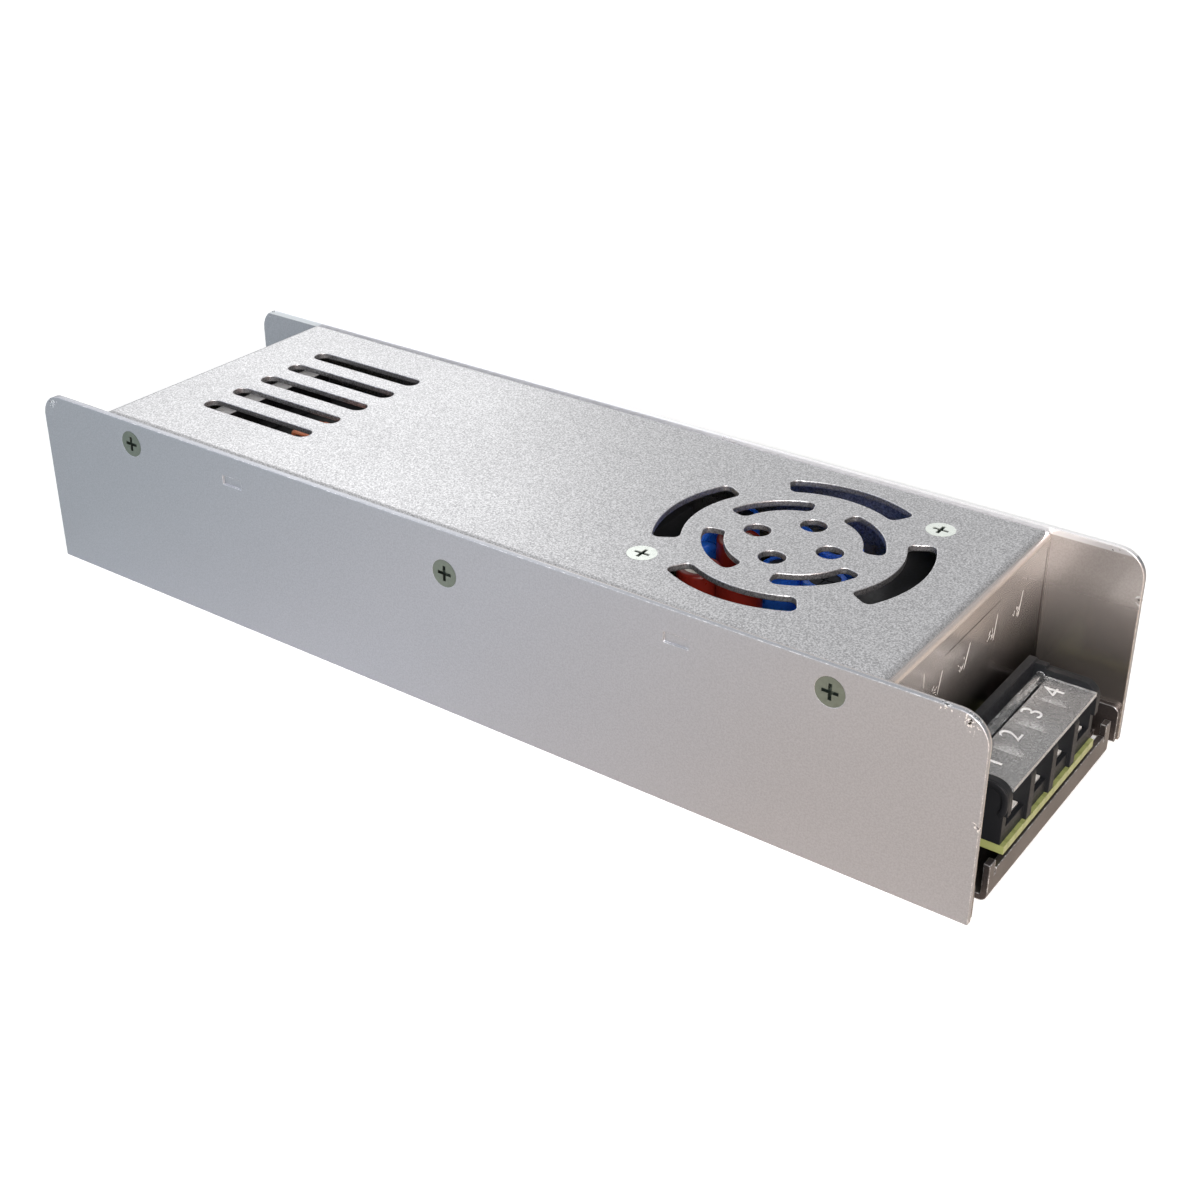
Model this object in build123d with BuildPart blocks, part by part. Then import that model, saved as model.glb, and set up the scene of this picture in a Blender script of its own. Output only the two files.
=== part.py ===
# A slim strip type power supply: a folded sheet metal case, a circuit board
# with its electronics, and a barrier terminal block at each end.
# Millimetres. X runs along the case with the output end at +X, Y runs across it
# and Z is up. The origin is the middle of the case's underside.

import os
from math import radians, tan

from build123d import *

os.makedirs("parts", exist_ok=True)

# Case
case_length = 224.0
case_width = 68.0
case_height = 40.0
sheet = 1.2
bend_inside = 0.3
sheet_gap = 0.1
wall_corner_radius = 5.5
mark_end_inset = 58.0
mark_drop = 5.8
mark_length = 5.2
mark_width = 2.0
mark_depth = 0.35

# Tray
upstand_height = 7.6
upstand_setback = 0.3
upstand_corner_radius = 1.5
lip_height = 5.5
lip_board_gap = 0.8
lip_side_gap = 4.9
ear_height = 7.5
ear_width = 2.1
nick_width = 0.7
nick_depth = 1.2
corner_notch = 4.5
mount_end_inset = 37.0
mount_side_inset = 12.0
mount_hole_radius = 1.6

# Cover
cover_end_inset = 18.2
cover_drop = 0.3
flange_height = 13.5
end_bend_inside = 0.8
corner_relief = 0.6
panel_board_gap = 1.6
vent_y = 0.7
slot_count = 5
slot_pitch = 8.5
slot_length = 30.4
slot_width = 4.2
slot_inset = 29.8
grille_inset = 37.0
grille_hole_radius = 2.6
grille_hole_circle = 7.65
inner_arc_inside = 12.8
inner_arc_outside = 17.0
inner_arc_span = 61.0
outer_arc_inside = 20.8
outer_arc_outside = 26.1
outer_arc_span = 63.0
arc_end_fillet = 1.5

# Flat head screws of the case
screw_shank_radius = 1.45
screw_thread_gap = 0.05
screw_clear_radius = 1.6
flat_head_radius = 2.85
flat_head_gap = 0.05
countersink_angle = 100.0
flat_screw_length = 5.0
cross_width = 0.7
cross_length = 3.2
cross_depth = 0.7
wall_screw_inset = 28.0
wall_screw_drop = 5.1
middle_screw_x = 2.0
middle_screw_drop = 9.1
grille_screw_spacing = 40.0
nut_flats = 5.5
nut_height = 2.4

# Circuit board and what holds it
board_thickness = 1.6
board_panel_gap = 1.1
board_side_gap = 1.1
board_setback = 0.2
tongue_gap = 0.1
standoff_end_inset = 25.5
standoff_side_inset = 3.0
standoff_flats = 5.5
pan_head_radius = 2.75
pan_head_height = 2.0
pan_screw_length = 5.0
film_thickness = 0.3
film_end_inset = 5.5
film_side_inset = 1.5
film_hole_radius = 3.6

# Barrier terminal blocks
terminal_pitch = 9.5
terminal_wall = 1.5
terminal_depth = 14.0
terminal_setback = 0.3
terminal_base_height = 2.3
terminal_end_height = 12.1
terminal_divider_height = 10.0
terminal_divider_wall = 2.0
terminal_divider_radius = 1.5
terminal_back_height = 13.1
terminal_back_wall = 1.6
terminal_corner_radius = 3.0
hinge_cheek_height = 12.8
hinge_cheek_depth = 4.0
sill_setback = 1.0
sill_thickness = 0.9
sill_height = 2.9
end_wall_step = 5.9
output_ways = 4
output_block_y = -1.35
input_ways = 3
input_block_y = 0.0
hinge_inset = 11.2
hinge_height = 10.45
hinge_bar_radius = 0.9
hinge_pin_gap = 0.05
hinge_pin_length = 0.9
hinge_side_gap = 0.2
lid_thickness = 0.85
lid_rest_gap = 0.1
lid_front_inset = 0.05
lid_back_inset = 9.5
lid_arm_width = 3.0
contact_thickness = 0.8
contact_width = 7.2
contact_front_gap = 0.2
contact_length = 9.4
clamp_thickness = 1.2
clamp_rest_gap = 0.05
clamp_corner_radius = 0.5
clamp_size = 6.6
terminal_screw_inset = 7.5
terminal_shank_radius = 1.5
terminal_shank_length = 3.9
terminal_head_radius = 3.0
terminal_head_height = 2.7
terminal_head_crown = 0.7
terminal_screw_gap = 0.05
terminal_bore_gap = 0.35
terminal_bore_depth = 2.0

# Input side parts on the board. A station is a place along the board, as a part of half its length
fuse_station = -0.945
row_gap = 0.5
fuse_length = 20.0
fuse_radius = 2.6
fuse_wall = 0.5
fuse_cap_length = 5.0
fuse_axis_height = 5.2
fuse_clip_width = 4.0
fuse_clip_sheet = 0.5
disc_lead_radius = 0.35
disc_lead_pitch = 5.0
disc_lead_length = 1.5
disc_edge_fillet = 1.2
varistor_radius = 5.0
varistor_thickness = 4.5
thermistor_radius = 4.0
thermistor_thickness = 4.0
film_capacitor_size = (8.5, 14.0, 15.0)
filter_capacitor_station = -0.753
filter_edge_gap = 8.5
filter_capacitor_size = (10.0, 26.0, 22.0)
box_capacitor_fillet = 0.8
choke_station = -0.6186
choke_y = -5.5
choke_drop = 3.35
choke_core_inner = 7.4
choke_core_width = 10.0
choke_wire = 1.0
choke_winding_span = 150.0
choke_board_gap = 0.05

# Input heatsink with the bridge rectifier
input_sink_station = -0.8667
input_sink_y = 2.0
input_sink_length = 36.0
input_sink_drop = 2.5
sink_plate = 2.0
input_sink_cap = 4.2
input_sink_cap_sheet = 1.5
bridge_width = 22.0
bridge_depth = 3.6
bridge_height = 17.0
bridge_rise = 5.0
bridge_lead_pitch = 5.0
bridge_lead_radius = 0.5

# Bulk capacitors
bulk_station = -0.339
bulk_y = 14.0
bulk_gap = 1.5
bulk_radius = 11.0
bulk_drop = 3.6
sleeve_film = 0.25
sleeve_lip = 1.0
vent_score_width = 0.4
vent_score_depth = 0.2

# Primary heatsink and its transistors
primary_sink_station = -0.131
primary_sink_length = 68.0
primary_sink_height = 20.5
primary_sink_wall_gap = 0.5
package_width = 10.0
package_body_depth = 4.5
package_body_height = 9.0
package_tab_depth = 1.3
package_tab_height = 15.8
package_rise = 3.5
package_lead_pitch = 2.54
package_lead_width = 0.8
package_lead_depth = 0.5
tab_hole_radius = 1.8
tab_hole_drop = 3.0
switch_spacing = 28.0

# Transformer
transformer_station = 0.044
transformer_y = 4.0
transformer_drop = 2.8
core_width = 36.0
core_depth = 34.0
core_thickness = 12.0
core_leg = 5.5
core_centre_leg = 10.0
bobbin_wall = 1.0
bobbin_gap = 0.2
winding_gap = 0.5
bobbin_foot_depth = 5.0
bobbin_foot_height = 1.8

# Output choke, beside the transformer's corner and the tray's near upstand
output_choke_gap = 9.0
output_choke_side_gap = 0.4
output_choke_core_outer = 8.6
output_choke_core_inner = 4.8
output_choke_core_width = 8.0
output_choke_wire = 1.2
output_choke_span = 300.0

# Output heatsink with the rectifiers
output_sink_inset = 14.8
output_sink_y = 2.0
output_sink_length = 46.0
output_sink_drop = 5.0
output_sink_cap = 10.5
rectifier_spacing = 14.0

# Output capacitors, each placed from the grille's centre
red_radius = 4.1
red_drop = 5.6
red_offsets = ((-15.3, -7.8), (-6.4, -7.8), (-15.3, 6.4))
blue_radius = 4.1
blue_drop = 8.6
blue_offsets = ((-5.3, 6.4), (3.7, 6.4), (-23.8, 20.3), (-10.8, 19.3), (0.2, 19.3))
suppressor_offsets = ((-21.8, 3.8), (-25.8, 10.8))
suppressor_radius = 4.5
suppressor_thickness = 3.6
suppressor_lead_length = 14.0

# Control chip
chip_offset_x = 1.2
chip_offset_y = -20.2
chip_size = (10.0, 6.4, 3.4)
chip_pin_rows = 4
chip_pin_pitch = 2.54
chip_pin_size = 0.5
chip_rise = 1.0

# Places that follow from the sizes above
half_length = case_length / 2
wall_inner = case_width / 2 - sheet
upstand_inner = wall_inner - sheet
bend_outside = bend_inside + sheet
cover_top = case_height - cover_drop
cover_under = cover_top - sheet
cover_length = case_length - 2 * cover_end_inset
cover_width = 2 * (wall_inner - sheet_gap)
panel_inner_x = cover_length / 2 - sheet
lip_width = 2 * (upstand_inner - lip_side_gap)
grille_x = cover_length / 2 - grille_inset
slot_centre_x = slot_inset - cover_length / 2
board_length = 2 * (panel_inner_x - board_panel_gap)
board_width = 2 * (upstand_inner - board_side_gap)
mount_spacing_x = case_length - 2 * mount_end_inset
mount_spacing_y = case_width - 2 * mount_side_inset
standoff_spacing_x = board_length - 2 * standoff_end_inset
standoff_spacing_y = board_width - 2 * standoff_side_inset
film_length = board_length - 2 * film_end_inset
film_width = board_width - 2 * film_side_inset
board_bottom = lip_height + lip_board_gap
board_top = board_bottom + board_thickness
panel_bottom = board_top + panel_board_gap
flat_head_height = (flat_head_radius - screw_shank_radius) / tan(radians(countersink_angle / 2))
wall_screw_x = half_length - wall_screw_inset
wall_screw_points = (
    (-wall_screw_x, case_height - wall_screw_drop),
    (middle_screw_x, case_height - middle_screw_drop),
    (wall_screw_x, case_height - wall_screw_drop),
)
grille_screw_points = (
    (grille_x - grille_screw_spacing / 2, vent_y - grille_screw_spacing / 2),
    (grille_x + grille_screw_spacing / 2, vent_y + grille_screw_spacing / 2),
)
near_face = Plane.XZ.offset(case_width / 2)
far_face = Plane(origin=(0, case_width / 2, 0), x_dir=(1, 0, 0), z_dir=(0, 1, 0))
far_points = tuple((x, -z) for x, z in wall_screw_points)
output_width = output_ways * terminal_pitch + terminal_wall
input_width = input_ways * terminal_pitch + terminal_wall
output_end = Plane(origin=(half_length, output_block_y, board_top), x_dir=(-1, 0, 0), z_dir=(0, 0, 1))
input_end = Plane(origin=(-half_length, input_block_y, board_top), x_dir=(1, 0, 0), z_dir=(0, 0, 1))
contact_top = terminal_base_height + contact_thickness
clamp_bottom = contact_top + clamp_rest_gap
clamp_top = clamp_bottom + clamp_thickness
terminal_bore_radius = terminal_shank_radius + terminal_bore_gap

# Places of the parts on the board. Their heights keep clear of the cover
station_length = board_length / 2
fuse_x = fuse_station * station_length
thermistor_y = board_width / 2 - row_gap - thermistor_radius
varistor_y = thermistor_y - thermistor_radius - row_gap - varistor_radius
film_capacitor_y = varistor_y - varistor_radius - row_gap - film_capacitor_size[1] / 2
fuse_y = (film_capacitor_y - film_capacitor_size[1] / 2 - board_width / 2) / 2
filter_capacitor_x = filter_capacitor_station * station_length
filter_capacitor_y = board_width / 2 - filter_edge_gap - filter_capacitor_size[1] / 2
choke_x = choke_station * station_length
choke_core_outer = (cover_under - choke_drop - choke_board_gap - board_top) / 2 - choke_wire
input_sink_x = input_sink_station * station_length
input_sink_height = cover_under - input_sink_drop - board_top
bulk_x = bulk_station * station_length
bulk_spacing = 2 * (bulk_radius + sleeve_film) + bulk_gap
bulk_height = cover_under - bulk_drop - board_top
primary_sink_x = primary_sink_station * station_length
transformer_x = transformer_station * station_length
output_choke_outside = output_choke_core_outer + output_choke_wire
output_choke_x = transformer_x + core_width / 2 + output_choke_gap
output_choke_y = output_choke_side_gap + output_choke_outside - upstand_inner
output_sink_x = cover_length / 2 - output_sink_inset
output_sink_height = cover_under - output_sink_drop - board_top
red_height = cover_under - red_drop - board_top
blue_height = cover_under - blue_drop - board_top
chip_x = grille_x + chip_offset_x
chip_y = vent_y + chip_offset_y


# Places given from the grille's centre, as places on the board
def from_grille(offsets):
    return tuple((grille_x + x, vent_y + y) for x, y in offsets)


# Writes one piece under its own name
def save(piece, name):
    piece.label = name
    export_step(piece, f"parts/{name}.step")


# Base tray: floor, two long upstands and an end lip at each end
with BuildPart() as base_tray:
    with BuildSketch(Plane.YZ) as tray_section:
        Rectangle(2 * wall_inner, upstand_height, align=(Align.CENTER, Align.MIN))
        with Locations((0, sheet)):
            Rectangle(2 * upstand_inner, upstand_height, align=(Align.CENTER, Align.MIN), mode=Mode.SUBTRACT)
        fillet(tray_section.vertices().group_by(Axis.Y)[0], bend_outside)
        inside_corners = tray_section.vertices().filter_by_position(Axis.Y, sheet - 0.01, sheet + 0.01)
        fillet(inside_corners, bend_inside)
    extrude(amount=half_length - upstand_setback, both=True)
    fillet(base_tray.edges().filter_by(Axis.Y).group_by(Axis.Z)[-1], upstand_corner_radius)
    with GridLocations(case_length - corner_notch, 0, 2, 1):
        Box(corner_notch, 2 * upstand_inner, 3 * sheet, mode=Mode.SUBTRACT)
    with BuildSketch(Plane.XZ) as lip_section:
        with BuildLine():
            Polyline(
                (half_length - 2 * corner_notch, 0),
                (half_length, 0),
                (half_length, ear_height),
                (half_length - sheet, ear_height),
                (half_length - sheet, sheet),
                (half_length - 2 * corner_notch, sheet),
                close=True,
            )
        make_face()
        fillet(lip_section.vertices().sort_by_distance((half_length, 0, 0))[0], bend_outside)
        fillet(lip_section.vertices().sort_by_distance((half_length - sheet, sheet, 0))[0], bend_inside)
    lip = extrude(amount=lip_width / 2, both=True)
    mirror(lip, about=Plane.YZ)
    lip_middle = lip_width - 2 * ear_width
    with GridLocations(case_length - sheet, 0, 2, 1):
        with Locations((0, 0, lip_height)):
            Box(2 * sheet, lip_middle, ear_height, align=(Align.CENTER, Align.CENTER, Align.MIN), mode=Mode.SUBTRACT)
    with GridLocations(case_length - sheet, lip_middle - nick_width, 2, 2):
        with Locations((0, 0, lip_height - nick_depth)):
            Box(2 * sheet, nick_width, ear_height, align=(Align.CENTER, Align.CENTER, Align.MIN), mode=Mode.SUBTRACT)
    with Locations((0, 0, sheet)):
        with GridLocations(mount_spacing_x, mount_spacing_y, 2, 2):
            Hole(mount_hole_radius, depth=sheet)
save(base_tray.part, "base_tray")

# Side walls: flat plates that run past the cover, with rounded upper corners
with BuildPart() as near_side_wall:
    with BuildSketch(Plane.XZ.offset(wall_inner)) as wall_outline:
        Rectangle(case_length, case_height, align=(Align.CENTER, Align.MIN))
        fillet(wall_outline.vertices().group_by(Axis.Y)[-1], wall_corner_radius)
    extrude(amount=sheet)
    with Locations(near_face):
        with Locations(*wall_screw_points):
            CounterSinkHole(
                radius=screw_clear_radius,
                counter_sink_radius=flat_head_radius + flat_head_gap,
                depth=sheet,
                counter_sink_angle=countersink_angle,
            )
        with Locations((0, case_height - mark_drop)):
            with GridLocations(case_length - 2 * mark_end_inset, 0, 2, 1):
                Box(mark_length, mark_width, 2 * mark_depth, mode=Mode.SUBTRACT)
save(near_side_wall.part, "near_side_wall")

with BuildPart() as far_side_wall:
    mirror(near_side_wall.part, about=Plane.XZ)
save(far_side_wall.part, "far_side_wall")


# A block with its long and short top edges rounded, as a folded cover has them
def cover_block(length, width, top, bottom, side_radius, end_radius):
    with BuildPart() as block:
        with BuildSketch(Plane.YZ.offset(-length / 2)) as cross_section:
            with Locations((0, bottom)):
                Rectangle(width, top - bottom, align=(Align.CENTER, Align.MIN))
            fillet(cross_section.vertices().group_by(Axis.Y)[-1], side_radius)
        extrude(amount=length)
        with BuildSketch(Plane.XZ.offset(-width / 2)) as long_section:
            with Locations((0, bottom)):
                Rectangle(length, top - bottom, align=(Align.CENTER, Align.MIN))
            fillet(long_section.vertices().group_by(Axis.Y)[-1], end_radius)
        extrude(amount=width, mode=Mode.INTERSECT)
    return block.part


# One curved grille opening, centred on the local X axis
def arc_opening(inside, outside, span):
    with BuildSketch(mode=Mode.PRIVATE) as opening:
        with BuildLine():
            outer_arc = CenterArc((0, 0), outside, -span / 2, span)
            inner_arc = CenterArc((0, 0), inside, -span / 2, span)
            Line(outer_arc @ 0, inner_arc @ 0)
            Line(outer_arc @ 1, inner_arc @ 1)
        make_face()
        fillet(opening.vertices(), arc_end_fillet)
    return opening.sketch


# Cover: top plate, a narrow flange along each wall and a panel at each end
cover_outside = cover_block(
    cover_length, cover_width, cover_top, panel_bottom, bend_outside, end_bend_inside + sheet
)
cover_inside = cover_block(
    cover_length - 2 * sheet,
    cover_width - 2 * sheet,
    cover_top - sheet,
    panel_bottom - sheet,
    bend_inside,
    end_bend_inside,
)
flange_bottom = cover_top - flange_height
outer_opening = arc_opening(outer_arc_inside, outer_arc_outside, outer_arc_span)
inner_opening = arc_opening(inner_arc_inside, inner_arc_outside, inner_arc_span)
with BuildPart() as top_cover:
    add(cover_outside)
    add(cover_inside, mode=Mode.SUBTRACT)
    with Locations((0, 0, flange_bottom)):
        Box(
            2 * panel_inner_x,
            2 * cover_width,
            case_height,
            align=(Align.CENTER, Align.CENTER, Align.MAX),
            mode=Mode.SUBTRACT,
        )
    with GridLocations(2 * panel_inner_x - corner_relief, cover_width - sheet, 2, 2):
        with Locations((0, 0, cover_top - 2 * bend_outside)):
            Box(
                corner_relief,
                2 * sheet,
                case_height,
                align=(Align.CENTER, Align.CENTER, Align.MAX),
                mode=Mode.SUBTRACT,
            )
    with BuildSketch(Plane.XY.offset(cover_top)):
        with Locations((slot_centre_x, vent_y)):
            with GridLocations(0, slot_pitch, 1, slot_count):
                SlotOverall(slot_length, slot_width)
        with Locations((grille_x, vent_y)):
            with PolarLocations(grille_hole_circle, 4):
                Circle(grille_hole_radius)
            with PolarLocations(0, 4):
                add(outer_opening)
            with PolarLocations(0, 4, start_angle=45):
                add(inner_opening)
    extrude(amount=-sheet, mode=Mode.SUBTRACT)
    with BuildSketch(Plane.XZ):
        with Locations(*wall_screw_points):
            Circle(screw_shank_radius + screw_thread_gap)
    extrude(amount=case_width, both=True, mode=Mode.SUBTRACT)
    with Locations((0, 0, cover_top)):
        with Locations(*grille_screw_points):
            CounterSinkHole(
                radius=screw_clear_radius,
                counter_sink_radius=flat_head_radius + flat_head_gap,
                depth=sheet,
                counter_sink_angle=countersink_angle,
            )
save(top_cover.part, "top_cover")


# A flat head screw with a cross recess, its head's face at the local origin
with BuildPart() as flat_screw:
    with Locations((0, 0, -flat_head_height / 2)):
        Cone(screw_shank_radius, flat_head_radius, flat_head_height)
    with Locations((0, 0, -flat_screw_length / 2)):
        Cylinder(screw_shank_radius, flat_screw_length)
    Box(cross_length, cross_width, 2 * cross_depth, mode=Mode.SUBTRACT)
    Box(cross_width, cross_length, 2 * cross_depth, mode=Mode.SUBTRACT)

with BuildPart() as wall_screws:
    with Locations(near_face):
        with Locations(*wall_screw_points):
            add(flat_screw.part)
    with Locations(far_face):
        with Locations(*far_points):
            add(flat_screw.part)
save(wall_screws.part, "wall_screws")

with BuildPart() as grille_screws:
    with Locations((0, 0, cover_top)):
        with Locations(*grille_screw_points):
            add(flat_screw.part)
save(grille_screws.part, "grille_screws")

with BuildPart() as grille_nuts:
    with BuildSketch(Plane.XY.offset(cover_top - sheet)):
        with Locations(*grille_screw_points):
            RegularPolygon(nut_flats / 2, 6, major_radius=False)
            Circle(screw_shank_radius + screw_thread_gap, mode=Mode.SUBTRACT)
    extrude(amount=-nut_height)
save(grille_nuts.part, "grille_nuts")

# Standoffs on the tray floor, the board and its screws
with BuildPart() as board_standoffs:
    with BuildSketch(Plane.XY.offset(sheet)):
        with GridLocations(standoff_spacing_x, standoff_spacing_y, 2, 2):
            RegularPolygon(standoff_flats / 2, 6, major_radius=False)
            Circle(screw_shank_radius + screw_thread_gap, mode=Mode.SUBTRACT)
    extrude(amount=board_bottom - sheet)
save(board_standoffs.part, "board_standoffs")

with BuildPart() as insulating_film:
    with BuildSketch(Plane.XY.offset(sheet)):
        Rectangle(film_length, film_width)
        with GridLocations(standoff_spacing_x, standoff_spacing_y, 2, 2):
            Circle(film_hole_radius, mode=Mode.SUBTRACT)
        with GridLocations(mount_spacing_x, mount_spacing_y, 2, 2):
            Circle(film_hole_radius, mode=Mode.SUBTRACT)
    extrude(amount=film_thickness)
save(insulating_film.part, "insulating_film")

with BuildPart() as circuit_board:
    with BuildSketch(Plane.XY.offset(board_bottom)):
        Rectangle(board_length, board_width)
        with Locations((0, output_block_y)):
            Rectangle(half_length - board_setback, output_width + tongue_gap, align=(Align.MIN, Align.CENTER))
        with Locations((0, input_block_y)):
            Rectangle(half_length - board_setback, input_width + tongue_gap, align=(Align.MAX, Align.CENTER))
        with GridLocations(standoff_spacing_x, standoff_spacing_y, 2, 2):
            Circle(screw_clear_radius, mode=Mode.SUBTRACT)
    extrude(amount=board_thickness)
save(circuit_board.part, "circuit_board")


# A pan head screw with a cross recess, the underside of its head at the local origin
def pan_screw(head_radius, head_height, crown, shank_radius, length):
    with BuildPart() as screw:
        Cylinder(head_radius, head_height, align=(Align.CENTER, Align.CENTER, Align.MIN))
        fillet(screw.edges().group_by(Axis.Z)[-1], crown)
        Cylinder(shank_radius, length, align=(Align.CENTER, Align.CENTER, Align.MAX))
        with Locations((0, 0, head_height)):
            Box(cross_length, cross_width, 2 * cross_depth, mode=Mode.SUBTRACT)
            Box(cross_width, cross_length, 2 * cross_depth, mode=Mode.SUBTRACT)
    return screw.part


small_screw = pan_screw(pan_head_radius, pan_head_height, terminal_head_crown, screw_shank_radius, pan_screw_length)
with BuildPart() as board_screws:
    with Locations((0, 0, board_top)):
        with GridLocations(standoff_spacing_x, standoff_spacing_y, 2, 2):
            add(small_screw)
save(board_screws.part, "board_screws")


# Barrier block on its end plane: local X runs inwards from the end of the case
def terminal_block(ways, end_plane):
    width = ways * terminal_pitch + terminal_wall
    back = terminal_setback + terminal_depth
    low = (Align.MIN, Align.CENTER, Align.MIN)
    with BuildPart(end_plane) as block:
        # Base behind a low sill, both set back from the fronts of the dividers
        with Locations((sill_setback, 0, 0)):
            Box(back - sill_setback, width, terminal_base_height, align=low)
            Box(sill_thickness, width, sill_height, align=low)
        with Locations((back - terminal_back_wall, 0, 0)):
            Box(terminal_back_wall, width, terminal_back_height, align=low)
        # Dividers between the ways, cut down beside the hinge bar
        with Locations((terminal_setback, 0, 0)):
            with GridLocations(0, terminal_pitch, 1, ways - 1):
                Box(
                    lid_back_inset - terminal_setback,
                    terminal_divider_wall,
                    terminal_divider_height,
                    align=low,
                )
                Box(
                    terminal_depth,
                    terminal_divider_wall,
                    hinge_height - 1.5 * hinge_bar_radius,
                    align=low,
                )
        # End walls with a taller cheek at the hinge, their fronts stepped back below
        with Locations((terminal_setback, 0, 0)):
            with GridLocations(0, width - terminal_wall, 1, 2):
                Box(terminal_depth, terminal_wall, terminal_end_height, align=low)

        # Front edges of the walls whose tops stand at one height
        def front_corners(height):
            fronts = block.edges().filter_by(Axis.Y).filter_by(
                lambda edge: abs(end_plane.to_local_coords(edge.center()).X - terminal_setback) < 0.01
            )
            return fronts.filter_by(
                lambda edge: abs(end_plane.to_local_coords(edge.center()).Z - height) < 0.01
            )

        fillet(front_corners(terminal_end_height), terminal_corner_radius)
        fillet(front_corners(terminal_divider_height), terminal_divider_radius)
        with Locations((terminal_setback, 0, 0)):
            with GridLocations(0, width - terminal_wall, 1, 2):
                Box(
                    sill_setback - terminal_setback,
                    terminal_wall,
                    end_wall_step,
                    align=low,
                    mode=Mode.SUBTRACT,
                )
        with Locations((back - hinge_cheek_depth, 0, 0)):
            with GridLocations(0, width - terminal_wall, 1, 2):
                Box(hinge_cheek_depth, terminal_wall, hinge_cheek_height, align=low)
        # Screw bores in the base, and the holes that the hinge bar turns in
        with Locations((terminal_screw_inset, 0, terminal_base_height)):
            with GridLocations(0, terminal_pitch, 1, ways):
                Hole(terminal_bore_radius, depth=terminal_bore_depth)
        with Locations((hinge_inset, 0, hinge_height)):
            Cylinder(
                hinge_bar_radius + hinge_pin_gap,
                width - 2 * terminal_wall + 2 * (hinge_pin_length + hinge_side_gap),
                rotation=(90, 0, 0),
                mode=Mode.SUBTRACT,
            )
    return block.part


# Hinged lid over a block's screws, with its hinge bar moulded on
def terminal_lid(ways, end_plane):
    inner_width = ways * terminal_pitch - terminal_wall
    lid_bottom = terminal_divider_height + lid_rest_gap
    lid_start = terminal_setback + lid_front_inset
    with BuildPart(end_plane) as lid:
        with Locations((lid_start, 0, lid_bottom)):
            Box(
                lid_back_inset - lid_start,
                inner_width - 2 * hinge_side_gap,
                lid_thickness,
                align=(Align.MIN, Align.CENTER, Align.MIN),
            )
        with Locations((lid_back_inset, 0, lid_bottom)):
            with GridLocations(0, inner_width - 2 * hinge_side_gap - lid_arm_width, 1, 2):
                Box(
                    hinge_inset - lid_back_inset,
                    lid_arm_width,
                    lid_thickness,
                    align=(Align.MIN, Align.CENTER, Align.MIN),
                )
        with Locations((hinge_inset, 0, hinge_height)):
            Cylinder(hinge_bar_radius, inner_width + 2 * hinge_pin_length, rotation=(90, 0, 0))
    return lid.part


# Flat contact strips on the block's base, one for each way
def terminal_contacts(ways, end_plane):
    start = sill_setback + sill_thickness + contact_front_gap
    with BuildPart(end_plane) as contacts:
        with Locations((start, 0, terminal_base_height)):
            with GridLocations(0, terminal_pitch, 1, ways):
                Box(
                    contact_length,
                    contact_width,
                    contact_thickness,
                    align=(Align.MIN, Align.CENTER, Align.MIN),
                )
        with Locations((terminal_screw_inset, 0, contact_top)):
            with GridLocations(0, terminal_pitch, 1, ways):
                Hole(terminal_bore_radius, depth=contact_thickness)
    return contacts.part


# Square clamp plate that rises with its screw
def wire_clamp(offset_y, end_plane):
    with BuildPart(end_plane) as clamp:
        with Locations((terminal_screw_inset, offset_y, clamp_bottom)):
            Box(clamp_size, clamp_size, clamp_thickness, align=(Align.CENTER, Align.CENTER, Align.MIN))
        fillet(clamp.edges().filter_by(Axis.Z), clamp_corner_radius)
        with Locations((terminal_screw_inset, offset_y, clamp_top)):
            Hole(terminal_shank_radius + terminal_screw_gap, depth=clamp_thickness)
    return clamp.part


terminal_head = pan_screw(
    terminal_head_radius, terminal_head_height, terminal_head_crown, terminal_shank_radius, terminal_shank_length
)


# Terminal screw, its head just above the clamp plate
def terminal_screw(offset_y, end_plane):
    with BuildPart(end_plane) as screw:
        with Locations((terminal_screw_inset, offset_y, clamp_top + terminal_screw_gap)):
            add(terminal_head)
    return screw.part


# Both ends' blocks, lids, contacts, clamps and screws
for end_name, ways, end_plane in (("output", output_ways, output_end), ("input", input_ways, input_end)):
    save(terminal_block(ways, end_plane), f"{end_name}_terminal_block")
    save(terminal_lid(ways, end_plane), f"{end_name}_terminal_lid")
    save(terminal_contacts(ways, end_plane), f"{end_name}_contacts")
    for way in range(ways):
        offset_y = ((ways - 1) / 2 - way) * terminal_pitch
        save(wire_clamp(offset_y, end_plane), f"{end_name}_wire_clamp_{way + 1}")
        save(terminal_screw(offset_y, end_plane), f"{end_name}_terminal_screw_{way + 1}")

# Glass fuse lying across the board in two clips
fuse_axis = Plane(origin=(fuse_x, fuse_y, board_top + fuse_axis_height), x_dir=(1, 0, 0), z_dir=(0, 1, 0))
fuse_cap_spacing = fuse_length - fuse_cap_length
with BuildPart(fuse_axis) as fuse_tube:
    Cylinder(fuse_radius - fuse_wall, fuse_length - 2 * fuse_wall)
    Cylinder(fuse_radius - 2 * fuse_wall, fuse_length, mode=Mode.SUBTRACT)
save(fuse_tube.part, "fuse_tube")

with BuildPart(fuse_axis) as fuse_caps:
    with Locations((0, 0, -fuse_cap_spacing / 2), (0, 0, fuse_cap_spacing / 2)):
        Cylinder(fuse_radius, fuse_cap_length)
    Cylinder(fuse_radius - fuse_wall, fuse_length - 2 * fuse_wall, mode=Mode.SUBTRACT)
save(fuse_caps.part, "fuse_caps")

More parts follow.
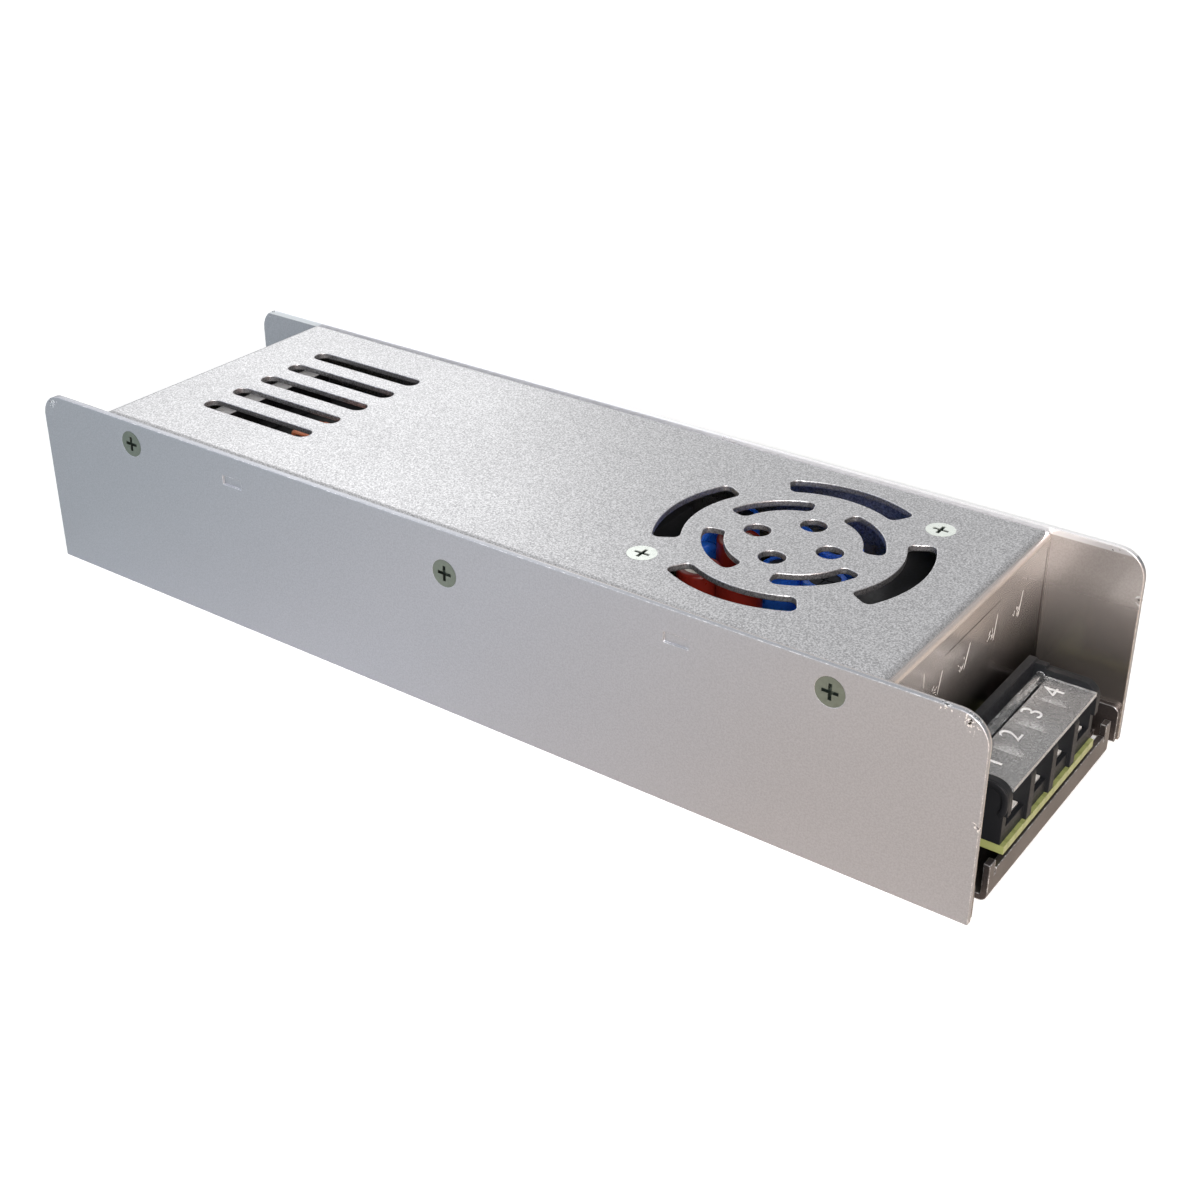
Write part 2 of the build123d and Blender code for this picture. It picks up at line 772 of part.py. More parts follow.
with BuildPart() as fuse_clips:
    with BuildSketch(Plane.XZ.offset(-fuse_y)) as clip_section:
        with Locations((fuse_x, board_top + fuse_axis_height)):
            Rectangle(
                2 * (fuse_radius + fuse_clip_sheet),
                fuse_axis_height + fuse_radius / 2,
                align=(Align.CENTER, Align.MAX),
            )
        with Locations((fuse_x, board_top + fuse_clip_sheet)):
            Rectangle(2 * fuse_radius, 3 * fuse_axis_height, align=(Align.CENTER, Align.MIN), mode=Mode.SUBTRACT)
        with Locations((fuse_x, board_top)):
            Rectangle(3 * fuse_radius, fuse_axis_height, align=(Align.CENTER, Align.MAX), mode=Mode.SUBTRACT)
    extrude(amount=(fuse_cap_spacing + fuse_clip_width) / 2, both=True)
    with Locations((fuse_x, fuse_y, board_top)):
        Box(4 * fuse_radius, fuse_cap_spacing - fuse_clip_width, 4 * fuse_axis_height, mode=Mode.SUBTRACT)
save(fuse_clips.part, "fuse_clips")


# A round coated part standing on two leads, its flat side facing along X
def disc_part(x, y, radius, thickness, lead_length):
    with BuildPart() as disc:
        with Locations((x, y, board_top + lead_length + radius)):
            Cylinder(radius, thickness, rotation=(0, 90, 0))
        fillet(disc.edges(), disc_edge_fillet)
        with Locations((x, y, board_top)):
            with GridLocations(0, disc_lead_pitch, 1, 2):
                Cylinder(
                    disc_lead_radius,
                    lead_length + radius,
                    align=(Align.CENTER, Align.CENTER, Align.MIN),
                )
    return disc.part


save(
    disc_part(fuse_x, varistor_y, varistor_radius, varistor_thickness, disc_lead_length),
    "surge_varistor",
)
save(
    disc_part(fuse_x, thermistor_y, thermistor_radius, thermistor_thickness, disc_lead_length),
    "inrush_thermistor",
)


# A boxed film capacitor standing on the board
def box_capacitor(x, y, size):
    with BuildPart() as box:
        with Locations((x, y, board_top)):
            Box(*size, align=(Align.CENTER, Align.CENTER, Align.MIN))
        fillet(box.edges().filter_by(Axis.Z), box_capacitor_fillet)
        fillet(box.edges().group_by(Axis.Z)[-1], box_capacitor_fillet)
    return box.part


save(box_capacitor(fuse_x, film_capacitor_y, film_capacitor_size), "input_film_capacitor")
save(box_capacitor(filter_capacitor_x, filter_capacitor_y, filter_capacitor_size), "filter_capacitor")


# A ring core about the local Z axis
def ring_core(outer, inner, width):
    with BuildPart() as ring:
        Cylinder(outer, width)
        Cylinder(inner, width, mode=Mode.SUBTRACT)
        fillet(ring.edges().filter_by(GeomType.CIRCLE), width / 12)
    return ring.part


# The body of a winding that wraps a ring core over part of its turn
def ring_winding(core, outer, inner, width, wire, span, start_angles):
    with BuildPart() as winding:
        Cylinder(outer + wire, width + 2 * wire)
        Cylinder(inner - wire, width + 2 * wire, mode=Mode.SUBTRACT)
        fillet(winding.edges().filter_by(GeomType.CIRCLE), wire)
        cut_angle = 360 / len(start_angles) - span
        for start in start_angles:
            with BuildSketch(Plane.XY.offset(-width)):
                with BuildLine():
                    edge = CenterArc((0, 0), 3 * outer, start + span, cut_angle)
                    Line((0, 0), edge @ 0)
                    Line((0, 0), edge @ 1)
                make_face()
            extrude(amount=2 * width, mode=Mode.SUBTRACT)
        add(core, mode=Mode.SUBTRACT)
    return winding.part


# Line choke: a ring on edge with two windings, its axis along X
choke_lift = choke_core_outer + choke_wire + choke_board_gap
choke_plane = Plane(
    origin=(choke_x, choke_y, board_top + choke_lift), x_dir=(0, 1, 0), z_dir=(1, 0, 0)
)
choke_ring = ring_core(choke_core_outer, choke_core_inner, choke_core_width)
choke_start = 90 - choke_winding_span / 2
choke_turns = ring_winding(
    choke_ring,
    choke_core_outer,
    choke_core_inner,
    choke_core_width,
    choke_wire,
    choke_winding_span,
    (choke_start, choke_start + 180),
)
save(choke_plane * choke_ring, "line_choke_core")
save(choke_plane * choke_turns, "line_choke_windings")

# Input heatsink: a plate on edge with a flat cap, and the bridge rectifier on it
with BuildPart() as input_heatsink:
    with Locations((input_sink_x, input_sink_y, board_top)):
        Box(
            sink_plate,
            input_sink_length,
            input_sink_height,
            align=(Align.CENTER, Align.CENTER, Align.MIN),
        )
    with Locations((input_sink_x, input_sink_y, board_top + input_sink_height)):
        Box(
            input_sink_cap,
            input_sink_length,
            input_sink_cap_sheet,
            align=(Align.CENTER, Align.CENTER, Align.MAX),
        )
save(input_heatsink.part, "input_heatsink")

bridge_x = input_sink_x + (sink_plate + bridge_depth) / 2
with BuildPart() as bridge_rectifier:
    with Locations((bridge_x, input_sink_y, board_top + bridge_rise)):
        Box(bridge_depth, bridge_width, bridge_height, align=(Align.CENTER, Align.CENTER, Align.MIN))
        with GridLocations(0, bridge_lead_pitch, 1, 4):
            Cylinder(bridge_lead_radius, bridge_rise, align=(Align.CENTER, Align.CENTER, Align.MAX))
    chamfer(bridge_rectifier.edges().filter_by(Axis.Z).group_by(Axis.Y)[-1], bridge_depth / 3)
save(bridge_rectifier.part, "bridge_rectifier")


# An aluminium can, scored on top with a cross, and the shrunk sleeve around it
def capacitor_can(radius, height):
    with BuildPart() as can:
        Cylinder(radius, height, align=(Align.CENTER, Align.CENTER, Align.MIN))
        fillet(can.edges().group_by(Axis.Z)[-1], sleeve_lip / 2)
        with Locations((0, 0, height)):
            Box(radius, vent_score_width, 2 * vent_score_depth, mode=Mode.SUBTRACT)
            Box(vent_score_width, radius, 2 * vent_score_depth, mode=Mode.SUBTRACT)
    return can.part


def capacitor_sleeve(radius, height, can):
    with BuildPart() as sleeve:
        Cylinder(radius + sleeve_film, height + sleeve_film, align=(Align.CENTER, Align.CENTER, Align.MIN))
        fillet(sleeve.edges().group_by(Axis.Z)[-1], sleeve_lip / 2)
        Cylinder(
            radius - sleeve_lip,
            2 * height,
            align=(Align.CENTER, Align.CENTER, Align.MIN),
            mode=Mode.SUBTRACT,
        )
        add(can, mode=Mode.SUBTRACT)
    return sleeve.part


# The same piece at each of several places on the board
def on_board(piece, places):
    with BuildPart() as group:
        with Locations((0, 0, board_top)):
            with Locations(*places):
                add(piece)
    return group.part


bulk_places = ((bulk_x, bulk_y - bulk_spacing), (bulk_x, bulk_y))
bulk_can = capacitor_can(bulk_radius, bulk_height)
save(on_board(bulk_can, bulk_places), "bulk_capacitor_cans")
save(on_board(capacitor_sleeve(bulk_radius, bulk_height, bulk_can), bulk_places), "bulk_capacitor_sleeves")
red_can = capacitor_can(red_radius, red_height)
red_places = from_grille(red_offsets)
save(on_board(red_can, red_places), "red_capacitor_cans")
save(on_board(capacitor_sleeve(red_radius, red_height, red_can), red_places), "red_capacitor_sleeves")
blue_can = capacitor_can(blue_radius, blue_height)
blue_places = from_grille(blue_offsets)
save(on_board(blue_can, blue_places), "blue_capacitor_cans")
save(on_board(capacitor_sleeve(blue_radius, blue_height, blue_can), blue_places), "blue_capacitor_sleeves")

with BuildPart() as suppressor_capacitors:
    for suppressor_x, suppressor_y in from_grille(suppressor_offsets):
        add(
            disc_part(
                suppressor_x,
                suppressor_y,
                suppressor_radius,
                suppressor_thickness,
                suppressor_lead_length,
            )
        )
save(suppressor_capacitors.part, "suppressor_capacitors")

# Primary heatsink along the near wall
primary_sink_y = -(upstand_inner - primary_sink_wall_gap - sink_plate / 2)
with BuildPart() as primary_heatsink:
    with Locations((primary_sink_x, primary_sink_y, board_top)):
        Box(
            primary_sink_length,
            sink_plate,
            primary_sink_height,
            align=(Align.CENTER, Align.CENTER, Align.MIN),
        )


# A power package with its tab against local Y = 0 and its leads down to Z = 0
with BuildPart() as power_package:
    with Locations((0, 0, package_rise)):
        Box(
            package_width,
            package_tab_depth,
            package_tab_height,
            align=(Align.CENTER, Align.MIN, Align.MIN),
        )
        Box(
            package_width,
            package_body_depth,
            package_body_height,
            align=(Align.CENTER, Align.MIN, Align.MIN),
        )
    with Locations((0, package_body_depth / 2, 0)):
        with GridLocations(package_lead_pitch, 0, 3, 1):
            Box(
                package_lead_width,
                package_lead_depth,
                package_rise,
                align=(Align.CENTER, Align.CENTER, Align.MIN),
            )
    tab_hole_height = package_rise + package_tab_height - tab_hole_drop
    with Locations((0, 0, tab_hole_height)):
        Cylinder(tab_hole_radius, 4 * package_tab_depth, rotation=(90, 0, 0), mode=Mode.SUBTRACT)

switch_face = Plane(
    origin=(primary_sink_x, primary_sink_y + sink_plate / 2, board_top), x_dir=(1, 0, 0), z_dir=(0, 0, 1)
)
with BuildPart(switch_face) as switch_transistors:
    with GridLocations(switch_spacing, 0, 2, 1):
        add(power_package.part)
save(switch_transistors.part, "switch_transistors")

# Output heatsink: an angle whose flat cap reaches back over the rectifiers
output_sink_face_x = output_sink_x - sink_plate / 2
with BuildPart() as output_heatsink:
    with Locations((output_sink_x, output_sink_y, board_top)):
        Box(
            sink_plate,
            output_sink_length,
            output_sink_height,
            align=(Align.CENTER, Align.CENTER, Align.MIN),
        )
    with Locations((output_sink_x + sink_plate / 2, output_sink_y, board_top + output_sink_height)):
        Box(
            output_sink_cap,
            output_sink_length,
            sink_plate,
            align=(Align.MAX, Align.CENTER, Align.MAX),
        )

rectifier_face = Plane(
    origin=(output_sink_face_x, output_sink_y, board_top), x_dir=(0, 1, 0), z_dir=(0, 0, 1)
)
with BuildPart(rectifier_face) as output_rectifiers:
    with GridLocations(rectifier_spacing, 0, 3, 1):
        add(power_package.part)
save(output_rectifiers.part, "output_rectifiers")

# Screws that clamp the packages, and their threaded holes in the two heatsinks
package_screw = pan_screw(
    pan_head_radius, pan_head_height, terminal_head_crown, screw_shank_radius, package_tab_depth + sink_plate
)
switch_screw_plane = Plane(
    origin=(
        primary_sink_x,
        primary_sink_y + sink_plate / 2 + package_tab_depth,
        board_top + tab_hole_height,
    ),
    x_dir=(1, 0, 0),
    z_dir=(0, 1, 0),
)
rectifier_screw_plane = Plane(
    origin=(output_sink_face_x - package_tab_depth, output_sink_y, board_top + tab_hole_height),
    x_dir=(0, 1, 0),
    z_dir=(-1, 0, 0),
)
with BuildPart() as package_screws:
    with Locations(switch_screw_plane):
        with GridLocations(switch_spacing, 0, 2, 1):
            add(package_screw)
    with Locations(rectifier_screw_plane):
        with GridLocations(rectifier_spacing, 0, 3, 1):
            add(package_screw)
save(package_screws.part, "package_screws")

with BuildPart() as drilled_primary_heatsink:
    add(primary_heatsink.part)
    with Locations(switch_screw_plane):
        with GridLocations(switch_spacing, 0, 2, 1):
            Hole(screw_shank_radius + screw_thread_gap, depth=4 * sink_plate)
save(drilled_primary_heatsink.part, "primary_heatsink")

with BuildPart() as drilled_output_heatsink:
    add(output_heatsink.part)
    with Locations(rectifier_screw_plane):
        with GridLocations(rectifier_spacing, 0, 3, 1):
            Hole(screw_shank_radius + screw_thread_gap, depth=4 * sink_plate)
save(drilled_output_heatsink.part, "output_heatsink")

# Transformer: two E shaped core halves, a bobbin on feet and its winding
bobbin_tube_width = core_centre_leg + 2 * (bobbin_gap + bobbin_wall)
bobbin_tube_height = core_thickness + 2 * (bobbin_gap + bobbin_wall)
winding_width = core_width - 2 * core_leg - 2 * winding_gap
winding_height = cover_under - transformer_drop - bobbin_foot_height - board_top
winding_build = (winding_height - bobbin_tube_height) / 2
bobbin_length = core_depth - 2 * core_leg - 2 * bobbin_gap
transformer_axis_height = winding_height / 2 + bobbin_foot_height
transformer_centre = (transformer_x, transformer_y, board_top + transformer_axis_height)
with BuildPart(Plane(origin=transformer_centre)) as transformer_core:
    Box(core_width, core_depth, core_thickness)
    window = (core_width - core_centre_leg) / 2 - core_leg
    with GridLocations(core_centre_leg + window, 0, 2, 1):
        Box(window, core_depth - 2 * core_leg, core_thickness, mode=Mode.SUBTRACT)
    split(bisect_by=Plane.XZ.offset(-transformer_y), keep=Keep.BOTH)
save(transformer_core.part, "transformer_core")

with BuildPart(Plane(origin=transformer_centre)) as transformer_bobbin:
    flange_spacing = bobbin_length - bobbin_wall
    Box(bobbin_tube_width, bobbin_length, bobbin_tube_height)
    with GridLocations(0, flange_spacing, 1, 2):
        Box(winding_width, bobbin_wall, winding_height)
    Box(
        core_centre_leg + 2 * bobbin_gap,
        2 * core_depth,
        core_thickness + 2 * bobbin_gap,
        mode=Mode.SUBTRACT,
    )
    with Locations((0, 0, -transformer_axis_height)):
        with GridLocations(0, bobbin_length + bobbin_foot_depth - 2 * bobbin_wall, 1, 2):
            Box(
                winding_width,
                bobbin_foot_depth,
                bobbin_foot_height + bobbin_wall,
                align=(Align.CENTER, Align.CENTER, Align.MIN),
            )
save(transformer_bobbin.part, "transformer_bobbin")

with BuildPart(Plane(origin=transformer_centre)) as transformer_winding:
    Box(winding_width, bobbin_length - 2 * bobbin_wall, winding_height)
    fillet(transformer_winding.edges().filter_by(Axis.Y), winding_build / 2)
    Box(bobbin_tube_width, core_depth, bobbin_tube_height, mode=Mode.SUBTRACT)
save(transformer_winding.part, "transformer_winding")

# Output choke: a ring lying flat on the board
output_choke_plane = Plane(
    origin=(
        output_choke_x,
        output_choke_y,
        board_top + output_choke_core_width / 2 + output_choke_wire,
    )
)
output_choke_ring = ring_core(output_choke_core_outer, output_choke_core_inner, output_choke_core_width)
output_choke_turns = ring_winding(
    output_choke_ring,
    output_choke_core_outer,
    output_choke_core_inner,
    output_choke_core_width,
    output_choke_wire,
    output_choke_span,
    (0,),
)
save(output_choke_plane * output_choke_ring, "output_choke_core")
save(output_choke_plane * output_choke_turns, "output_choke_winding")

# Control chip on two rows of pins
with BuildPart() as control_chip:
    with Locations((chip_x, chip_y, board_top + chip_rise)):
        Box(*chip_size, align=(Align.CENTER, Align.CENTER, Align.MIN))
    with Locations((chip_x, chip_y, board_top)):
        with GridLocations(chip_pin_pitch, chip_size[1] - chip_pin_size, chip_pin_rows, 2):
            Box(chip_pin_size, chip_pin_size, chip_rise, align=(Align.CENTER, Align.CENTER, Align.MIN))
save(control_chip.part, "control_chip")
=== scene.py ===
import math
import random

import bpy
from mathutils import Matrix, Vector


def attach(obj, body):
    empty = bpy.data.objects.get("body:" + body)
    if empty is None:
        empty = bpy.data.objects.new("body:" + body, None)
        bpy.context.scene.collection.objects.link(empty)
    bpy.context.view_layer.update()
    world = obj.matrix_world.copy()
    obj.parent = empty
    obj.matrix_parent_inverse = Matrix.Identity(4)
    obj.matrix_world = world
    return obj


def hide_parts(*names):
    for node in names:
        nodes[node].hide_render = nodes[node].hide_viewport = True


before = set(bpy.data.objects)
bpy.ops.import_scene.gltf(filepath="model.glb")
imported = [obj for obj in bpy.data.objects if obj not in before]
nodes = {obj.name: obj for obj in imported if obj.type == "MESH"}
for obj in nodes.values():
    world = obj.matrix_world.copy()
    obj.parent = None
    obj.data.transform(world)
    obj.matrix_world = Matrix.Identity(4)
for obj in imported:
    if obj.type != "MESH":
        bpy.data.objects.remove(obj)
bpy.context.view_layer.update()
mm = 0.001
random.seed(7)
print("frame loaded")


# An sRGB hex colour as the linear colour that a shader wants
def hexColour(code):
    parts = [int(code[i:i + 2], 16) / 255 for i in (1, 3, 5)]
    linear = [p / 12.92 if p <= 0.04045 else ((p + 0.055) / 1.055) ** 2.4 for p in parts]
    return (*linear, 1.0)


# One node: its settings by property or input, and what feeds it
def addNode(tree, kind, settings=None, links=None):
    node = tree.nodes.new(kind)
    for key, value in (settings or {}).items():
        if isinstance(key, str) and hasattr(node, key):
            setattr(node, key, value)
        else:
            node.inputs[key].default_value = value
    for key, source in (links or {}).items():
        tree.links.new(source, node.inputs[key])
    return node


def startMaterial(name):
    material = bpy.data.materials.new(name)
    material.use_nodes = True
    tree = material.node_tree
    tree.nodes.clear()
    shader = addNode(tree, "ShaderNodeBsdfPrincipled")
    addNode(tree, "ShaderNodeOutputMaterial", links={"Surface": shader.outputs[0]})
    place = addNode(tree, "ShaderNodeTexCoord").outputs["Object"]
    return material, tree, shader, place


def paint(names, material):
    for name in names:
        node = nodes[name]
        if not node.material_slots:
            node.data.materials.append(material)
        for slot in node.material_slots:
            slot.material = material


# 0 to 1 from one place to another along an axis, the same on both sides of the middle if it is mirrored
def placeRamp(tree, place, axis, start, end, mirrored=False):
    along = addNode(tree, "ShaderNodeSeparateXYZ", links={0: place}).outputs[axis]
    if mirrored:
        along = addNode(tree, "ShaderNodeMath", {"operation": "ABSOLUTE"}, {0: along}).outputs[0]
    return addNode(tree, "ShaderNodeMapRange", {1: start, 2: end}, {0: along}).outputs[0]


# The part of a noise that a pattern runs over: a wide one for gloss, a narrow one for speckle
softSpan = {1: 0.3, 2: 0.7}
hardSpan = {1: 0.38, 2: 0.62}

# The case: matt outside, smoother and browner where the sheet faces the output terminals
coverSheet = {
    "light": "#d0d0d2", "dark": "#969698", "speck": 0.33 * mm, "cloud": 40 * mm, "roughness": (0.36, 0.40),
    "depth": 0.006 * mm, "metallic": 0.96,
}
wallSheet = {
    "light": "#acaeb4", "dark": "#a1a3a9", "speck": 0.35 * mm, "cloud": 30 * mm, "roughness": (0.34, 0.40),
    "depth": 0.003 * mm, "metallic": 0.94,
}
innerSheet = {
    "light": "#c8c2be", "dark": "#bcb6b2", "speck": 0.35 * mm, "cloud": 14 * mm, "roughness": (0.17, 0.23),
    "depth": 0.003 * mm, "metallic": 0.68,
    # towards the board the colour darkens as painted shade, and the sheet is shinier there, so it mirrors the
    # block
    "fall": (33 * mm, 15 * mm), "paintedShadeTone": "#a69f99", "lowMetallic": 0.90,
}
# the end panel's inner face takes a much darker painted shade low down
panelSheet = dict(innerSheet, paintedShadeTone="#403d3b", lowMetallic=0.97)
# the tray is the same rolled aluminium as the walls, darkened as painted shade
shadedTraySheet = {
    "light": "#534d4c", "dark": "#484342", "speck": 0.35 * mm, "cloud": 12 * mm, "roughness": (0.28, 0.36),
    "depth": 0.003 * mm, "metallic": 0.72,
}
sheetEdge = {
    # bare is the colour of bare metal; on the cut edges it is also painted highlight, and on the far wall's
    # top band it is painted highlight only
    "radius": 0.35 * mm, "nick": 1.1 * mm, "scratch": 0.5 * mm, "bare": "#f6f6f7", "chip": "#2e2c2b",
    # where the rounded normal has left the flat one, and the noise that breaks the bare, partly
    # painted-highlight line there
    "turn": {1: 0.97, 2: 0.86}, "breaks": {1: 0.50, 2: 0.60, 3: 0.25},
    # a knock raises one noise until scratches are bare and lowers the other until chips are dark
    "knock": 0.27, "bareSpan": {1: 0.74, 2: 0.78}, "chipSpan": {1: 0.22, 2: 0.19}, "relief": 0.5,
}


# Rolled aluminium sheet: a fine even speckle, slow patches in the gloss, and bare metal on the cut edges,
# painted near-white as partly painted highlight.
# The speckle is drawn coarser than the real grain, as coarse as it needs to show
def rolledAluminium(name, outer, inner=None, zone=(), spots=(), rim=None):
    material, tree, shader, place = startMaterial(name)
    looks = []
    for sheet in filter(None, (outer, inner)):
        speck = addNode(tree, "ShaderNodeTexNoise",
                        {"Scale": 1 / sheet["speck"], "Detail": 2.0, "Roughness": 0.7}, {"Vector": place})
        level = addNode(tree, "ShaderNodeMapRange", hardSpan, {0: speck.outputs["Fac"]})
        tone = addNode(tree, "ShaderNodeMix",
                       {"data_type": "RGBA", 6: hexColour(sheet["dark"]), 7: hexColour(sheet["light"])},
                       {0: level.outputs[0]})
        patch = addNode(tree, "ShaderNodeTexNoise", {"Scale": 1 / sheet["cloud"], "Detail": 3.0},
                        {"Vector": place})
        gloss = addNode(tree, "ShaderNodeMapRange",
                        {**softSpan, 3: sheet["roughness"][0], 4: sheet["roughness"][1]},
                        {0: patch.outputs["Fac"]})
        looks.append((tone.outputs[2], gloss.outputs[0], speck.outputs["Fac"]))
    colour, gloss, height = looks[0]
    shader.inputs["Metallic"].default_value = outer["metallic"]
    if inner:
        face, half = (placeRamp(tree, place, *test) for test in zone)
        inside = addNode(tree, "ShaderNodeMath", {"operation": "MULTIPLY"}, {0: face, 1: half}).outputs[0]
        # painted shade: the inner face's colour darkens towards the bottom, and its metal rises there
        low = placeRamp(tree, place, "Z", *inner["fall"])
        innerToneWithShade = addNode(tree, "ShaderNodeMix", {"data_type": "RGBA", 7: hexColour(inner["paintedShadeTone"])},
                            {0: low, 6: looks[1][0]}).outputs[2]
        innerMetal = addNode(tree, "ShaderNodeMix", {2: inner["metallic"], 3: inner["lowMetallic"]}, {0: low})
        colour = addNode(tree, "ShaderNodeMix", {"data_type": "RGBA"},
                         {0: inside, 6: looks[0][0], 7: innerToneWithShade}).outputs[2]
        gloss = addNode(tree, "ShaderNodeMix", links={0: inside, 2: looks[0][1], 3: looks[1][1]}).outputs[0]
        metal = addNode(tree, "ShaderNodeMix", {2: outer["metallic"]}, {0: inside, 3: innerMetal.outputs[0]})
        tree.links.new(metal.outputs[0], shader.inputs["Metallic"])
    if rim:
        # painted highlight: a near-white band where the far wall's top stands over the cover
        colour = addNode(tree, "ShaderNodeMix", {"data_type": "RGBA", 7: hexColour(sheetEdge["bare"])},
                         {0: placeRamp(tree, place, "Z", *rim), 6: colour}).outputs[2]
    # the rounded normal against the flat one finds the cut edges, painted near-white as bare metal and
    # painted highlight, and noise breaks the line
    rounded = addNode(tree, "ShaderNodeBevel", {"samples": 6, "Radius": sheetEdge["radius"]}).outputs[0]
    flat = addNode(tree, "ShaderNodeNewGeometry").outputs["Normal"]
    facing = addNode(tree, "ShaderNodeVectorMath", {"operation": "DOT_PRODUCT"}, {0: rounded, 1: flat})
    edge = addNode(tree, "ShaderNodeMapRange", sheetEdge["turn"], {0: facing.outputs["Value"]})
    nick = addNode(tree, "ShaderNodeTexNoise",
                   {"Scale": 1 / sheetEdge["nick"], "Detail": 4.0, "Roughness": 0.75}, {"Vector": place})
    nickLevel = addNode(tree, "ShaderNodeMapRange", sheetEdge["breaks"], {0: nick.outputs["Fac"]})
    wornAndHighlight = addNode(tree, "ShaderNodeMath", {"operation": "MULTIPLY", "use_clamp": True},
                   {0: edge.outputs[0], 1: nickLevel.outputs[0]})
    colour = addNode(tree, "ShaderNodeMix", {"data_type": "RGBA", 7: hexColour(sheetEdge["bare"])},
                     {0: wornAndHighlight.outputs[0], 6: colour}).outputs[2]
    if spots:
        # knocked corners: scratches to bare metal, and a few dark chips
        scratch = addNode(tree, "ShaderNodeTexNoise",
                          {"Scale": 1 / sheetEdge["scratch"], "Detail": 3.0, "Roughness": 0.6},
                          {"Vector": place})
    for point, radius in spots:
        distance = addNode(tree, "ShaderNodeVectorMath", {"operation": "DISTANCE", 1: point}, {0: place})
        near = addNode(tree, "ShaderNodeMapRange", {1: radius, 2: 0.0, 3: 0.0, 4: sheetEdge["knock"]},
                       {0: distance.outputs["Value"]})
        marks = ((scratch, "ADD", "bareSpan", "bare"), (nick, "SUBTRACT", "chipSpan", "chip"))
        for noise, change, span, shade in marks:
            knocked = addNode(tree, "ShaderNodeMath", {"operation": change},
                              {0: noise.outputs["Fac"], 1: near.outputs[0]})
            level = addNode(tree, "ShaderNodeMapRange", sheetEdge[span], {0: knocked.outputs[0]})
            colour = addNode(tree, "ShaderNodeMix", {"data_type": "RGBA", 7: hexColour(sheetEdge[shade])},
                             {0: level.outputs[0], 6: colour}).outputs[2]
    grain = addNode(tree, "ShaderNodeBump", {"Strength": sheetEdge["relief"], "Distance": outer["depth"]},
                    {"Height": height, "Normal": rounded})
    tree.links.new(colour, shader.inputs["Base Color"])
    tree.links.new(gloss, shader.inputs["Roughness"])
    tree.links.new(grain.outputs[0], shader.inputs["Normal"])
    return material


# Knocked corners: the middle of each and how far it reaches
nearWallSpots = (
    ((108.6 * mm, -34 * mm, 38.6 * mm), 3.6 * mm), ((104.3 * mm, -33.6 * mm, 40 * mm), 2.6 * mm),
    ((111.8 * mm, -34 * mm, 19.5 * mm), 2.4 * mm), ((-109 * mm, -34 * mm, 38.5 * mm), 3.0 * mm),
)
farWallSpots = (
    ((106.5 * mm, 33.6 * mm, 39.6 * mm), 3.0 * mm), ((111.8 * mm, 33.4 * mm, 30 * mm), 2.6 * mm),
    ((-108.5 * mm, 33.6 * mm, 39.4 * mm), 2.6 * mm),
)
# Where each sheet is an inner one: its inward face, and only in the output end's half
outputHalf = ("X", 0.0, 30 * mm)
nearWallZone = (("Y", -33.3 * mm, -32.9 * mm), outputHalf)
farWallZone = (("Y", 33.3 * mm, 32.9 * mm), outputHalf)
coverZone = (("X", 92.9 * mm, 93.3 * mm), outputHalf)
# painted highlight: the far wall's top band is painted near-white, fading in between these heights
farWallHighlightBand = (38.7 * mm, 38.9 * mm)
paint(["near_side_wall"],
      rolledAluminium("rolled aluminium, near wall", wallSheet, innerSheet, nearWallZone, nearWallSpots))
paint(["far_side_wall"],
      rolledAluminium("rolled aluminium, far wall", wallSheet, innerSheet, farWallZone, farWallSpots,
                      farWallHighlightBand))
paint(["top_cover"], rolledAluminium("rolled aluminium, cover", coverSheet, panelSheet, coverZone))
paint(["base_tray"], rolledAluminium("rolled aluminium, tray, painted shade", shadedTraySheet))
print("case painted")

steelLooks = {
    "olive zinc plated steel": {
        "nodes": ("board_screws", "package_screws", "grille_nuts"),
        "light": "#a2a99c", "dark": "#848b7e", "roughness": 0.38, "metallic": 0.9,
    },
    "olive zinc plated flat heads": {
        "nodes": ("wall_screws",),
        "light": "#7b837a", "dark": "#656d63", "roughness": 0.36, "metallic": 0.9,
        # painted shade at the bottom of the cross: the recess zone and its dark colour
        "recess": ("Y", 33.9 * mm, 33.7 * mm), "grease": "#46504a",
    },
    "bright nickel plated steel": {
        "nodes": ("grille_screws",),
        "light": "#f2f7f2", "dark": "#dbe3dc", "roughness": 0.30, "metallic": 0.7,
        # painted shade at the bottom of the cross: the recess zone and its dark colour
        "recess": ("Z", 39.6 * mm, 39.4 * mm), "grease": "#3a4840",
    },
    "turned brass": {
        "nodes": ("board_standoffs",),
        "light": "#cfae62", "dark": "#a98a45", "roughness": 0.30, "metallic": 1.0,
    },
    "tinned brass": {
        "nodes": ("output_contacts", "input_contacts", "fuse_clips"),
        "light": "#f4f3ee", "dark": "#dedcd6", "roughness": 0.32, "metallic": 0.3,
    },
    "nickel plated terminal steel": {
        "nodes": tuple(n for n in nodes if "wire_clamp" in n or "terminal_screw" in n) + ("fuse_caps",),
        "light": "#ffffff", "dark": "#f2f1ee", "roughness": 0.28, "metallic": 0.1,
    },
}
plating = {
    "mottle": 0.9 * mm, "grit": 0.3 * mm, "depth": 0.02 * mm, "relief": 0.12, "glossSpread": (-0.06, 0.08),
}


